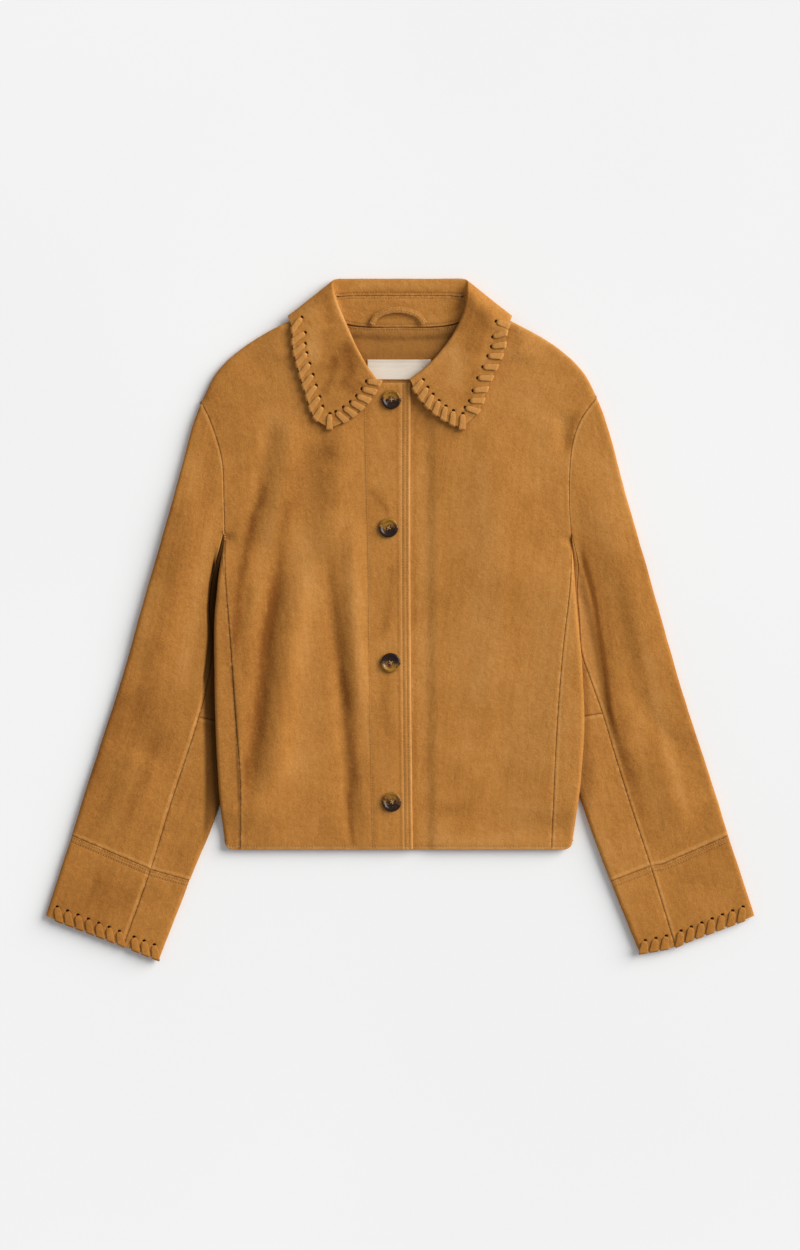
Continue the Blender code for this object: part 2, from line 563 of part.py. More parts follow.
# ---- sleeves --------------------------------------------------------------------------------------------------------
SECTIONS = {side: Line(rows) for side, rows in SLEEVE_SECTIONS.items()}
ELBOW_AT = {"right": 7, "left": 6}      # rows of the table where the elbow seam and the cuff seam cross
CUFF_AT = {"right": 10, "left": 9}
ELBOW_OUTER = (322, -95)                # where the elbow's section meets the outer edge
CUFF_OUTER = (370.5, -243.5)
ARMHOLE_PICK = {"top": range(16), "bottom": UNDERNEATH}
BACK_SEAM_COLUMN = 7                    # of the ring's lower points


def outer_point(side, along):
    """The sleeve's outer edge, by 0 at the armhole, 1 at the elbow, 2 at the cuff seam, 3 at the hem."""
    line = SLEEVE_EDGE[side]
    knots = (0, line.distance(*ELBOW_OUTER)[1], line.distance(*CUFF_OUTER)[1], 1)
    k = min(int(along), 2)
    return line.at(knots[k] + (knots[k + 1] - knots[k]) * (along - k))


def straight_ring(side, number):
    """A section's plan points: its upper ones and its lower ones, each from the outer edge to the inner fold."""
    outer, step_x, step_y, seam_x, seam_y, inner_x, inner_y = SECTIONS[side].by_index(number)
    o, step, seam, inner = outer_point(side, outer), (step_x, step_y), (seam_x, seam_y), (inner_x, inner_y)
    near = [s / hypot(o[0] - step_x, o[1] - step_y) for s in ROLL_STEPS]
    top = [mix(o, step, s) for s in near[:-1] + spaced(FRONT_SEAM_AT - 4, near[-1], 1)] + [seam]
    room = hypot(seam_x - inner_x, seam_y - inner_y)
    top += [mix(inner, seam, min(s / room, most)) for s, most in ((3.0, 0.5), (1.0, 0.2), (0.0, 0.0))]
    back = mix(inner, o, BACK_SEAM_SHARE)
    length = hypot(o[0] - inner_x, o[1] - inner_y)
    near = [s / length / (1 - BACK_SEAM_SHARE) for s in ROLL_STEPS]
    bottom = [mix(o, back, s) for s in near[:-1] + spaced(4, near[-1], 1)]
    bottom += [mix(inner, back, s / length / BACK_SEAM_SHARE) for s in ROLL_STEPS[::-1]]
    return outer, step, {"top": top, "bottom": bottom}


def sleeve_ring(side, number):
    """A section of the sleeve on its outer face, bent to the armhole's curve near the armhole."""
    outer, step, ring = straight_ring(side, number)
    o, inner = ring["top"][0], ring["top"][-1]
    bend = max(0.0, 1 - outer) ** 2
    first = straight_ring(side, 0)[2]
    middles = [sleeve_top(side, *p, 0) / 2 for p in (o, inner)]
    found = {}
    for face, points in ring.items():
        arm = [armhole_points(side, face)[k] for k in ARMHOLE_PICK[face]]
        found[face] = []
        for k, (x, y) in enumerate(points):
            d_outer, d_inner = hypot(x - o[0], y - o[1]), hypot(x - inner[0], y - inner[1])
            turned = roll(d_outer) * roll(d_inner)
            middle = middles[0] if d_outer < d_inner else middles[1]
            to_step = hypot(x - step[0], y - step[1]) * (1 if k < FRONT_SEAM_AT - 1 else -1)
            z = middle * (1 - turned)
            if face == "top":
                z = middle + (sleeve_top(side, x, y, to_step) - middle) * turned
            x, y = (p + (a - c) * bend for p, a, c in zip((x, y), arm[k], first[face][k]))
            found[face].append(arm[k] if outer <= 0 else (x, y, z))
    return found


def section_numbers(first, last):
    """Twice in each section beside the body and four times in the cuff's, once in each further down the sleeve."""
    if last - first == 1:
        return spaced(4, first, last)
    return [n / 2 for n in range(2 * first, 2 * last + 1) if n < 9 or n % 2 == 0]


def sleeve_piece(name, side, part, first, last):
    """A panel of the sleeve between two rows of the table: the upper part wraps its outer edge, the under part
    its inner fold, and they meet at the front seam above and the back seam below."""
    rows = []
    for number in section_numbers(first, last):
        ring = sleeve_ring(side, number)
        if part == "upper":
            row = ring["bottom"][BACK_SEAM_COLUMN::-1] + ring["top"][:FRONT_SEAM_AT + 1]
        else:
            row = ring["top"][FRONT_SEAM_AT:] + ring["bottom"][:BACK_SEAM_COLUMN - 1:-1]
        rows.append([signed(side, p) for p in row])
    rows = trim(rows, SEAM_GAP / 2 if part == "upper" else 0.32)
    if first == 0:
        rows = parted(rows, range(1, 7), 0.4, 1.2) if part == "under" else parted(rows, range(7), 1.5, 0, -1)
        room = 0.7 if part == "upper" else 1.3
        rows[0] = [mix(a, b, room / (Vector(a) - Vector(b)).length) for a, b in zip(rows[0], rows[1])]
    return cloth(f"{name}_{side}", rows, wall=STRIP_WALL if name == "under_sleeve_top" else WALL, flip=side == "left")


def sleeves():
    for side in SIDES:
        elbow, cuff = ELBOW_AT[side], CUFF_AT[side]
        sleeve_piece("upper_sleeve", side, "upper", 0, cuff)
        sleeve_piece("under_sleeve_top", side, "under", 0, elbow)
        sleeve_piece("under_sleeve_low", side, "under", elbow, cuff)
        cuff_lacing(side, [sleeve_piece("cuff_upper", side, "upper", cuff, cuff + 1),
                           sleeve_piece("cuff_under", side, "under", cuff, cuff + 1)])


# ---- neck -----------------------------------------------------------------------------------------------------------
def collar_rows(side):
    """The collar's sections along one half, as one smooth run of numbers."""
    plan = COLLAR_BACK + COLLAR_LEAF[side]
    return Line([p + h for p, h in zip(plan, COLLAR_HEIGHTS)])


def leaf_point(rows, number, share):
    """A point of the fall's leaf, by section and by the share of the way from the fold to the edge."""
    _, _, _, _, fx, fy, ex, ey, bow, _, _, fold_z, turn, leaf_z, edge_z = rows.by_index(number)
    fold, edge = Vector((fx, fy)), Vector((ex, ey))
    outward = (edge - fold).normalized()
    place = mix(fold, edge, share)
    bend = bow * 4 * share * (1 - share)
    z = leaf_z + (edge_z - leaf_z) * smooth(share * 1.6 - 0.6)
    z += (fold_z + turn - leaf_z) * (1 - smooth(share * 4))
    return place[0] + outward.y * bend, place[1] - outward.x * bend, z


def fall_section(rows, number):
    """Points from the stand's seam over the fold to the outer edge."""
    _, _, sx, sy, fx, fy, ex, ey, _, _, seam_z, fold_z, turn, _, _ = rows.by_index(number)
    seam, fold, edge = Vector((sx, sy)), Vector((fx, fy)), Vector((ex, ey))
    inward, outward = (seam - fold).normalized(), (edge - fold).normalized()
    found = [(*seam, seam_z), (*(fold + inward * FOLD_ROOM), fold_z - turn),
             (*(fold + inward * FOLD_ROOM * 0.3), fold_z - turn * 0.75), (*fold, fold_z),
             (*(fold + outward * FOLD_ROOM * 0.3), fold_z + turn * 0.75),
             (*(fold + outward * FOLD_ROOM), fold_z + turn)]
    found += [leaf_point(rows, number, share) for share in (0.25, 0.5, 0.75, 1.0)]
    return [(x, y, max(z, 0.0)) for x, y, z in found]


COLLAR_NUMBERS = [0, 1, 2, 2.5, 3, 3.5, 4, 4.5, 5, 5.5, 6, 6.5, 7, 7.5, 8, 8.5, 9, 9.5, 10]


def collar():
    halves = {side: collar_rows(side) for side in SIDES}
    rows = [[signed("right", p) for p in fall_section(halves["right"], n)] for n in COLLAR_NUMBERS[::-1]]
    rows += [[signed("left", p) for p in fall_section(halves["left"], n)] for n in COLLAR_NUMBERS[1:]]
    fall = cloth("collar_fall", trim(rows), wall=FALL_WALL)
    rows = []
    for side in SIDES:
        run = [n for n in COLLAR_NUMBERS if n <= STAND_END]
        for n in run[::-1] if side == "right" else run[1:]:
            nx, ny, sx, sy, _, _, _, _, _, neck_z, seam_z = halves[side].by_index(n)[:11]
            end = 1 - CREASE_EASE * smooth((n - 2.9) * 2) * smooth(6.5 - n)
            row = [mix((nx, ny, neck_z), (sx, sy, seam_z), s * end) for s in (0, 0.5, 1)]
            rows.append([signed(side, p) for p in row])
    stand = cloth("collar_stand", trim(rows))
    for side in SIDES:
        collar_lacing(side, fall)
    return fall, stand


# ---- lacing ---------------------------------------------------------------------------------------------------------
def stitch(hole, edge, along, wall):
    """A whip stitch: up through its hole, over the face to the edge, round the edge and under. Points on the outer
    face; along: the edge's direction. Gives the thong's middle, its direction across and its width."""
    hole, edge = Vector(hole), Vector(edge)
    way = (edge - hole).xy.normalized()
    turned, ahead = Vector((-way.y, way.x, 0)), Vector((*Vector(along[:2]).normalized(), 0))
    if turned.dot(ahead) < 0:
        turned = -turned
    out = Vector((-ahead.y, ahead.x, 0))
    if out.xy.dot(way) < 0:
        out = -out
    up = Vector((0, 0, THONG["clear"]))
    down = -Vector((0, 0, wall + THONG["under"]))
    return [(hole + down, turned, THONG["in_hole"]), (hole + up, turned, THONG["in_hole"]),
            (edge + out * 0.6 + up, ahead, THONG["wide"]), (edge + out * 1.2 - Vector((0, 0, wall / 2)), ahead, THONG["wide"]),
            (edge + out * 0.6 + down, ahead, THONG["wide"])]


def lacing(name, stitches, pierced):
    """One thong through all the stitches, and slots for it in the pieces it pierces."""
    run = [place for one in stitches for place in one]
    rows = [[tuple(p + across * wide / 2), tuple(p - across * wide / 2)] for p, across, wide in run]
    made = cloth(name, rows, slot="thong", wall=THONG["thick"])
    made.modifiers["wall"].offset = 0
    bm = bmesh.new()
    for one in stitches:
        (low, across, _), (high, _, _) = one[:2]
        turn = Matrix.Rotation(atan2(across.y, across.x), 4, "Z")
        size = Matrix.Diagonal((SLOT["long"] * MM, SLOT["wide"] * MM, ((high - low).z + 1) * MM, 1))
        bmesh.ops.create_cube(bm, size=1, matrix=Matrix.Translation((low + high) / 2 * MM) @ turn @ size)
    mesh = bpy.data.meshes.new(f"{name}_slots")
    bm.to_mesh(mesh)
    bm.free()
    slots = bpy.data.objects.new(f"{name}_slots", mesh)
    slots.hide_render, slots.display_type = True, "WIRE"
    bpy.data.collections["cutters"].objects.link(slots)
    for piece in pierced:
        cut = piece.modifiers.new(f"slots {name}", "BOOLEAN")
        cut.operation, cut.object, cut.solver = "DIFFERENCE", slots, "MANIFOLD"


def leaf_at(rows, x, y, number=7.5, share=0.7):
    """The leaf's point at a place in plan, found from a nearby section and share."""
    step = 0.01
    for _ in range(20):
        px, py, _ = leaf_point(rows, number, share)
        nx, ny, _ = leaf_point(rows, number + step, share)
        sx, sy, _ = leaf_point(rows, number, share + step)
        a, b, c, d = (nx - px) / step, (sx - px) / step, (ny - py) / step, (sy - py) / step
        turned = a * d - b * c
        number += min(max(((x - px) * d - (y - py) * b) / turned, -1.0), 1.0)
        share += min(max(((y - py) * a - (x - px) * c) / turned, -0.2), 0.2)
        number, share = min(max(number, LACED_FROM), 9.98), min(max(share, 0.05), 0.99)
    return leaf_point(rows, number, share)


def leaf_edges(rows):
    """Runs of points down the leaf's outer edge and from its corner up its front edge, by distance along each."""
    outer = [leaf_point(rows, n, 1)[:2] for n in spaced(120, LACED_FROM, 10)]
    before = Line([leaf_point(rows, n, 1)[:2] for n in spaced(8, LACED_FROM, 5)]).length
    front_edge = [leaf_point(rows, 10, s)[:2] for s in spaced(60, 1, 0)]

    def at(run, distance):
        """A point on the run, and the direction there."""
        reach = shares_of(run)
        total = sum((Vector(q) - Vector(p)).length for p, q in zip(run, run[1:]))
        share = min(max(distance / total, 0.002), 0.998)
        here, behind, ahead = (Vector(on_run(run, min(max(share + d, 0), 1))) for d in (0, -0.01, 0.01))
        return here, (ahead - behind).normalized(), total

    return (lambda d: at(outer, d + before)), (lambda d: at(front_edge, d))


def collar_lacing(side, fall):
    """Stitches down the leaf's outer edge, one at its corner, and then up its front edge towards the neck."""
    rows = collar_rows(side)
    table = COLLAR_LACING[side]
    corner = Vector(leaf_point(rows, 10, 1)[:2])
    middle = Vector(leaf_point(rows, 7.5, 0.4)[:2])
    places = []
    for run, first, pitch, ahead, count in zip(leaf_edges(rows), table["first"], table["pitch"], table["ahead"],
                                               COLLAR_LACING["count"]):
        for k in range(count):
            here, way, _ = run(first + pitch * k)
            end, along, _ = run(max(first + pitch * k + ahead, COLLAR_LACING["start"]))
            inward = Vector((-way.y, way.x))
            if inward.dot(middle - here) < 0:
                inward = -inward
            places.append((here + inward * COLLAR_LACING["inset"], end, along))
        if len(places) == count:
            inward = (middle - corner).normalized()
            places.append((corner + inward * COLLAR_LACING["corner"], corner - inward * 0.3,
                           Vector((-inward.y, inward.x))))
    stitches = []
    for hole, end, along in places:
        low, high = leaf_at(rows, *hole), leaf_at(rows, *end)
        stitches.append(stitch(signed(side, low), signed(side, (*end, high[2])), signed(side, tuple(along)), FALL_WALL))
    lacing(f"collar_lacing_{side}", stitches, [fall])


def cuff_lacing(side, pieces):
    """Stitches round the upper side's hem, from the outer fold to the inner one, with a wider step at the seam."""
    last = CUFF_AT[side] + 1
    inset = (Vector(outer_point(side, 3)) - Vector(outer_point(side, 2))).length
    hem, inner = (sleeve_ring(side, n)["top"] for n in (last, last - CUFF_LACING["inset"] / inset))
    stitches = []
    for share in spaced(6, 0.074, 0.62) + spaced(2, 0.749, 0.926):
        ahead = share + CUFF_LACING["slant"] * 0.08
        along = Vector(signed(side, on_run(hem, ahead + 0.01))) - Vector(signed(side, on_run(hem, ahead - 0.01)))
        stitches.append(stitch(signed(side, on_run(inner, share)), signed(side, on_run(hem, ahead)), along, WALL))
    lacing(f"cuff_lacing_{side}", stitches, pieces)


def facing(back_rows):
    """Lies on the back's inner face, made from its points below the neckline and moved up."""
    height = WALL + FACING["above_back"] + FACING["wall"]
    rows = []
    for row in back_rows[:-1]:
        taken = [(x, y, z + height) for x, y, z in row if abs(x) < FACING["half"]]
        if row[len(row) // 2][1] > FACING["low_y"]:
            rows.append(taken)
    columns = min(len(row) for row in rows)
    rows = [row[(len(row) - columns) // 2:][:columns] for row in rows]
    return cloth("back_facing", rows, slot="suede_inside", wall=FACING["wall"], flip=True)


def height_on(rows, y):
    """Height of a panel's points at Y, along its middle column."""
    column = [row[len(row) // 2] for row in rows]
    low, high = next((p, q) for p, q in zip(column, column[1:]) if q[1] >= y)
    return mix(low, high, (y - low[1]) / (high[1] - low[1]))[2]


def label(back_rows):
    rows = []
    above = WALL + FACING["wall"] + FACING["above_back"] * 2 + LABEL["wall"]
    for y in spaced(4, *LABEL["y"]):
        height = height_on(back_rows, y) + above
        rows.append([(x, y, height) for x in spaced(4, *LABEL["x"])])
    return cloth("label", rows, slot="satin", wall=LABEL["wall"], flip=True)


def hanger_loop():
    line = Line(LOOP["run"])
    rows = []
    for share in spaced(12):
        here, ahead = Vector(line.at(share)), Vector(line.at(min(share + 0.02, 1)))
        behind = Vector(line.at(max(share - 0.02, 0)))
        way = (ahead - behind).normalized()
        across = Vector((-way.y, way.x)) * LOOP["width"] / 2
        z = LOOP["on"] + LOOP["wall"] + LOOP["arch"] * sin(pi * share)
        rows.append([(*(here + across), z), (*(here - across), z)])
    return cloth("hanger_loop", rows, wall=LOOP["wall"], flip=True)


# ---- buttons --------------------------------------------------------------------------------------------------------
def button(number, x, y):
    radius, high, dish, rim = BUTTON["across"] / 2, BUTTON["high"], BUTTON["dish"], BUTTON["rim"]
    outline = [(0, high - dish), (radius - rim - 0.8, high - dish), (radius - rim, high - 0.3), (radius - 1.0, high),
               (radius, high * 0.62), (radius - 1.6, 0), (0, 0)]
    bm = bmesh.new()
    profile = [bm.verts.new((px * MM, 0, pz * MM)) for px, pz in outline]
    edges = [bm.edges.new(pair) for pair in zip(profile, profile[1:])]
    bmesh.ops.spin(bm, geom=profile + edges, axis=(0, 0, 1), cent=(0, 0, 0), angle=2 * pi, steps=BUTTON["sides"],
                   use_merge=True)
    bmesh.ops.remove_doubles(bm, verts=bm.verts, dist=1e-6)
    bmesh.ops.recalc_face_normals(bm, faces=bm.faces)
    mesh = bpy.data.meshes.new(f"button_{number}")
    bm.to_mesh(mesh)
    bm.free()
    made = add_object(f"button_{number}", mesh, "horn")
    made.location = Vector((x, y, body_top("right", abs(x), y) + SEAM_GAP)) * MM
    for k in range(4):
        turn = pi / 4 + k * pi / 2
        bpy.ops.mesh.primitive_cylinder_add(vertices=6, radius=BUTTON["hole"] / 2 * MM, depth=4 * high * MM)
        hole = bpy.context.object
        hole.name = f"button_{number}_hole_{k}"
        hole.location = made.location + Vector((cos(turn), sin(turn), 0)) * BUTTON["pitch"] / sqrt(2) * MM
        hole.hide_render, hole.display_type = True, "WIRE"
        hole.users_collection[0].objects.unlink(hole)
        bpy.data.collections["cutters"].objects.link(hole)
        cut = made.modifiers.new(f"hole {k}", "BOOLEAN")
        cut.operation, cut.object = "DIFFERENCE", hole
    return made


def main():
    for item in list(bpy.data.objects):
        bpy.data.objects.remove(item, do_unlink=True)
    collection("jacket")
    collection("cutters")
    for side in SIDES:
        front(side)
        side_panel(side)
    back_rows = back()
    sleeves()
    collar()
    facing(back_rows)
    label(back_rows)
    hanger_loop()
    for number, (x, y) in enumerate(BUTTON_PLACES, 1):
        button(number, x, y)


main()
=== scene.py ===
"""A short suede jacket laid flat on its back, dressed for the camera.

Every panel is a grid of points on its outer face, worked out in millimetres from short tables, which a Solidify
modifier gives its thickness. X runs to the wearer's left sleeve, Y from the hem to the collar, Z up from the surface.
Tables give X as the distance from the centre line; SIDES turns it to the wearer's right (-X) or left (+X).
"""

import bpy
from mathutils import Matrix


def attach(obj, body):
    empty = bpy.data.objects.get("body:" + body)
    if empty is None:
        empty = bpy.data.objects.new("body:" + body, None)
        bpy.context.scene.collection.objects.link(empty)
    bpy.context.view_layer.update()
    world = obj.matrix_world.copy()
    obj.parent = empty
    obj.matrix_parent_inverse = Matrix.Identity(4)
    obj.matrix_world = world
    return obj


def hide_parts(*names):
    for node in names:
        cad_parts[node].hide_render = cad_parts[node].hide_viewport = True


bl_info = {
    "name": "Suede Jacket Laid Flat",
    "version": (1, 0, 0),
    "blender": (4, 5, 0),
    "location": "View3D > Sidebar > Jacket",
    "description": "Builds a laced suede jacket, its buttons, stitching and a plain studio",
    "category": "Add Mesh",
}

from math import atan2, cos, pi, sin

import bmesh
import bpy
import numpy as np
from bpy.props import FloatProperty, FloatVectorProperty, PointerProperty
from mathutils import Matrix, Vector, noise

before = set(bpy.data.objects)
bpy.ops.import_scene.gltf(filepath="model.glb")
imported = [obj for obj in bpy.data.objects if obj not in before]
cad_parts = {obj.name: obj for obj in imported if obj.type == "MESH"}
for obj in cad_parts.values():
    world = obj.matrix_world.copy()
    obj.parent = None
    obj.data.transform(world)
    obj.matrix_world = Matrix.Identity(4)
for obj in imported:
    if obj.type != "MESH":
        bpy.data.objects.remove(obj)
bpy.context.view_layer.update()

MM = 0.001
SIDES = {"right": -1, "left": 1}
BODY = "root"

# ---- how the cloth lies ----
LAID_TOP = 8.0          # the upper layer's outer face where nothing lifts it
FOLD_MIDDLE = 4.0       # height at which the two layers turn into each other
FOLD_REACH = 4.6        # how far in from a fold the cloth is still turning down
FOLD_STEPS = (0.0, 0.15, 0.45, 0.9, 1.6, 2.5, 3.6, 5.0)   # distances from a fold at which it is sampled
UPRIGHT = 0.1           # share of its height that the cloth has right at a fold
STRIP_TOP = 5.0         # the sleeve's inner strip where the body lies on it
SIDE_LIFT = 5.9         # how far the body's side rises to lie on that strip
NECK_LIFT = 3.5         # how far the back neck rises to lie on the collar's fall
NECK_SETTLE = 1.5       # how much flatter the upper layer lies under the collar
NECK_EASE = 0.38        # how far the shoulders rise again beside the collar
UNDERLAP_DROP = 2.3     # the left front lies this much lower under the right front's edge
UNDERLAP_SHADE = {"shade": 0.16, "x": 16.5, "width": 2.6}     # dark line on the left front beside that edge
DEEPEST_TROUGH = -3.2   # the most that folds together sink the cloth

# ---- outline of the body ----
HEM_Y = -259.3
NECK_POINT = (84, 355)
SHOULDER = {"right": [NECK_POINT, (130, 334), (177, 307), (206, 280), (224.5, 245)],
            "left": [NECK_POINT, (130, 334), (177, 307), (206, 280), (222, 251)]}
ARMHOLE = {"right": [(224.5, 245), (214.7, 225.4), (201.1, 180.2), (198.9, 135), (198, 94)],
           "left": [(222, 251), (204.5, 226.6), (195.5, 202.8), (191.4, 168.9), (191.4, 124.9), (194, 92)]}
BODY_EDGE = {"right": [(198, 94), (204, 56), (207.5, 22), (209, 4), (209.4, -40), (207.2, -141.8), (202.7, -210.7),
                       (198, -249)],
             "left": [(194, 92), (196.2, 60), (197.8, 31), (204.2, -38), (207.7, -113.6), (204.5, -175.7),
                      (197.5, -230), (195, -249)]}
FRONT_SEAM = {"right": [(198.9, 104), (197.5, 60), (191, -27.7), (185.3, -113.6), (180.2, -175.7), (180.2, HEM_Y)],
              "left": [(191.6, 104), (192.4, 50), (183.1, -36.7), (177, -115), (171.3, -239), (170.6, HEM_Y)]}
BACK_SEAM = {"right": [(199.5, 122), (181, 94), (164, 60), (156, -20), (156, -140), (156, HEM_Y)],
             "left": [(191.5, 122), (176, 94), (161, 60), (153, -20), (153, -140), (153, HEM_Y)]}
NECKLINE_FRONT = [NECK_POINT, (75, 327), (59, 298), (39, 277.5), (21, 267)]
NECKLINE_BACK = [NECK_POINT, (78, 341), (64, 333), (45, 329.8), (0, 329.4)]
RIGHT_FRONT_EDGE = [(12.0, 268), (11.5, 120), (12.5, -80), (14.5, HEM_Y)]   # past the centre line
LEFT_FRONT_EDGE_X = -33.0                                                   # under the right front
FRONT_TOP_Y = 267.0
# FRONT_EDGE's shade: painted highlight on the right front's rolled edge and on the ridge in from it, painted shade in
# the trough beyond
FRONT_EDGE = [(1.2, 1.5, 0.0, 0.26), (9.9, 1.1, 0.45, 0.24), (13.0, 1.9, -0.30, -0.20)]  # inset, width, rise, shade
PLACKET_STITCH = [(-39.5, 262), (-38.5, 180), (-36.0, 90), (-35.0, 0), (-33.5, -110), (-30.5, HEM_Y)]
HEM_CORNER = 10.0           # radius of the body's corner at the hem
HEM_ROUND = 30              # how far up from the hem the body's corner is rounded
ARMHOLE_BLEND = 14          # how far from the armhole the body's height turns into the sleeve's
ARMHOLE_TIP = 7             # the stretch at each end of the armhole where one layer turns into the other

# ---- sleeves: a row for each section across the sleeve ----
# outer: share of the outer edge's length, between the armhole (0), the elbow (1), the cuff seam (2) and the hem (3).
# step: where the cloth steps down beside the body. seam: the front seam. inner: the inner fold.
SLEEVE_OUTER = [(232, 225), (254, 144), (285, 36), (316, -73), (351, -181), (370.5, -243.5), (400, -334)]
# outer, step x and y, seam x and y, inner x and y
SLEEVE_SECTIONS = {
    "right": [
        (0.00, 203.0, 122, 198.9, 104, 198.0, 94),
        (0.17, 211.5, 65, 209.4, 62, 203.6, 56),
        (0.28, 216.2, 41, 214.0, 38.5, 205.4, 34),
        (0.38, 218.4, 13, 215.6, 12, 205.8, 11),
        (0.52, 218.0, -17, 211.5, -17, 203.5, -18),
        (0.65, 220.0, -40, 212.5, -42, 200.0, -46),
        (0.82, 224.5, -82, 220.0, -83, 195.0, -86),
        (1.00, 230.5, -110, 227.0, -110, 194.0, -117),
        (1.33, 246.0, -156, 242.0, -157, 196.0, -165),
        (1.58, 259.0, -194, 255.0, -196, 202.5, -205),
        (2.00, 285.5, -280, 281.6, -282, 237.3, -294.5),
        (3.00, 316.0, -366, 311.9, -367.8, 272.0, -383.5)],
    "left": [
        (0.00, 198.0, 128, 191.6, 104, 194.0, 92),
        (0.16, 208.0, 72, 199.6, 64, 195.2, 60),
        (0.28, 215.0, 37, 198.8, 34, 195.4, 32),
        (0.42, 222.0, 2, 201.6, 0, 197.4, 0),
        (0.56, 229.0, -35, 204.4, -36, 196.5, -30),
        (0.74, 234.0, -68, 215.0, -68, 193.0, -70),
        (1.00, 241.0, -104, 228.3, -105.7, 190.0, -112),
        (1.33, 256.0, -152, 243.0, -155, 192.5, -160),
        (1.60, 271.0, -197, 256.5, -199, 203.4, -202),
        (2.00, 296.0, -276, 282.5, -278, 237.3, -295.5),
        (3.00, 323.0, -363, 310.4, -369, 270.6, -376)]}
STEP_WIDTH = {"right": 2.6, "left": 11.0}
# Y, how deep the sleeve's inner strip lies in the body's shadow, and how far out from the body's edge
UNDER_BODY = {"right": [(-264, 0.0, 26), (-245, 0.34, 23), (-221, 0.60, 19), (-203, 0.72, 16.5), (-184, 0.78, 15),
                        (-146, 0.82, 13.5), (-105, 0.86, 13), (-73, 0.88, 13), (-60, 0.90, 16), (-42, 0.93, 30),
                        (-20, 0.96, 40), (60, 0.98, 40), (94, 0.90, 40)],
              "left": [(-248, 0.0, 5), (-200, 0.30, 6), (-60, 0.26, 6), (40, 0.22, 6), (94, 0.0, 6)]}
SHADE_EDGE = {"right": 6.0, "left": 5.0}     # over what width that shadow ends
# the wearer's right front seam lies a little open: depth of its shade, width, run with X signed
OPEN_SEAM = [(0.40, 0.9, [(-200.8, 71), (-197.8, 49), (-194.7, 13), (-191.0, -30), (-189.6, -54)]),
             (0.64, 2.1, [(-189.5, -54), (-187.9, -73), (-185.0, -110), (-183.8, -134), (-182.7, -159),
                          (-181.4, -196), (-181.0, -206)]),
             (0.50, 1.3, [(-181.0, -206), (-181.0, -258)])]
BACK_SEAM_SHARE = 0.35      # where the back seam runs underneath, from the inner fold to the outer edge
ELBOW_AT = {"right": 7, "left": 6}
CUFF_AT = {"right": 10, "left": 9}
ELBOW_OUTER = (322, -95)
CUFF_OUTER = (370.5, -243.5)

# ---- folds: rise, width, run with X signed ----
BODY_FOLDS = [
    (-1.7, 9, [(-145, 228), (-155, 168), (-172, 85)]),                              # shoulder trough
    (3.2, 14, [(-122, 235), (-130, 160), (-146, 80)]),                              # shoulder ridge
    (-3.6, 10, [(-130, 70), (-145, 10), (-156, -70), (-164, -140), (-174, -215)]),  # long trough
    (4.2, 15, [(-105, 60), (-121, -20), (-133, -110), (-142, -200)]),               # long ridge
    (-2.5, 8, [(-174, 40), (-182, -20)]),                                           # side trough
    (-3.0, 10, [(-77, 30), (-69, -50), (-63, -150), (-52, -250)]),                  # middle trough
    (3.5, 14, [(-55, 120), (-50, 0), (-38, -120)]),                                 # middle ridge
    (3.0, 18, [(-60, 235), (-75, 140), (-80, 60)]),                                 # chest ridge
    (-2.0, 9, [(183, 234), (185, 190)]),                                            # left armhole trough
    (3.0, 30, [(105, 220), (112, 60), (105, -120)]),                                # left front swell
]
SLEEVE_FOLDS = [
    (3.5, 22, [(-232, 150), (-262, 40), (-285, -60)]),                              # right crown
    (-1.0, 16, [(-262, -60), (-285, -110), (-318, -150)]),                          # right elbow dip
    (2.5, 20, [(-285, -150), (-318, -240)]),                                        # right forearm swell
    (3.5, 20, [(230, 150), (262, 40), (290, -60)]),                                 # left crown
    (-1.8, 12, [(262, -70), (285, -115), (320, -150)]),                             # left elbow dip
    (2.5, 20, [(285, -150), (318, -240)]),                                          # left forearm swell
]
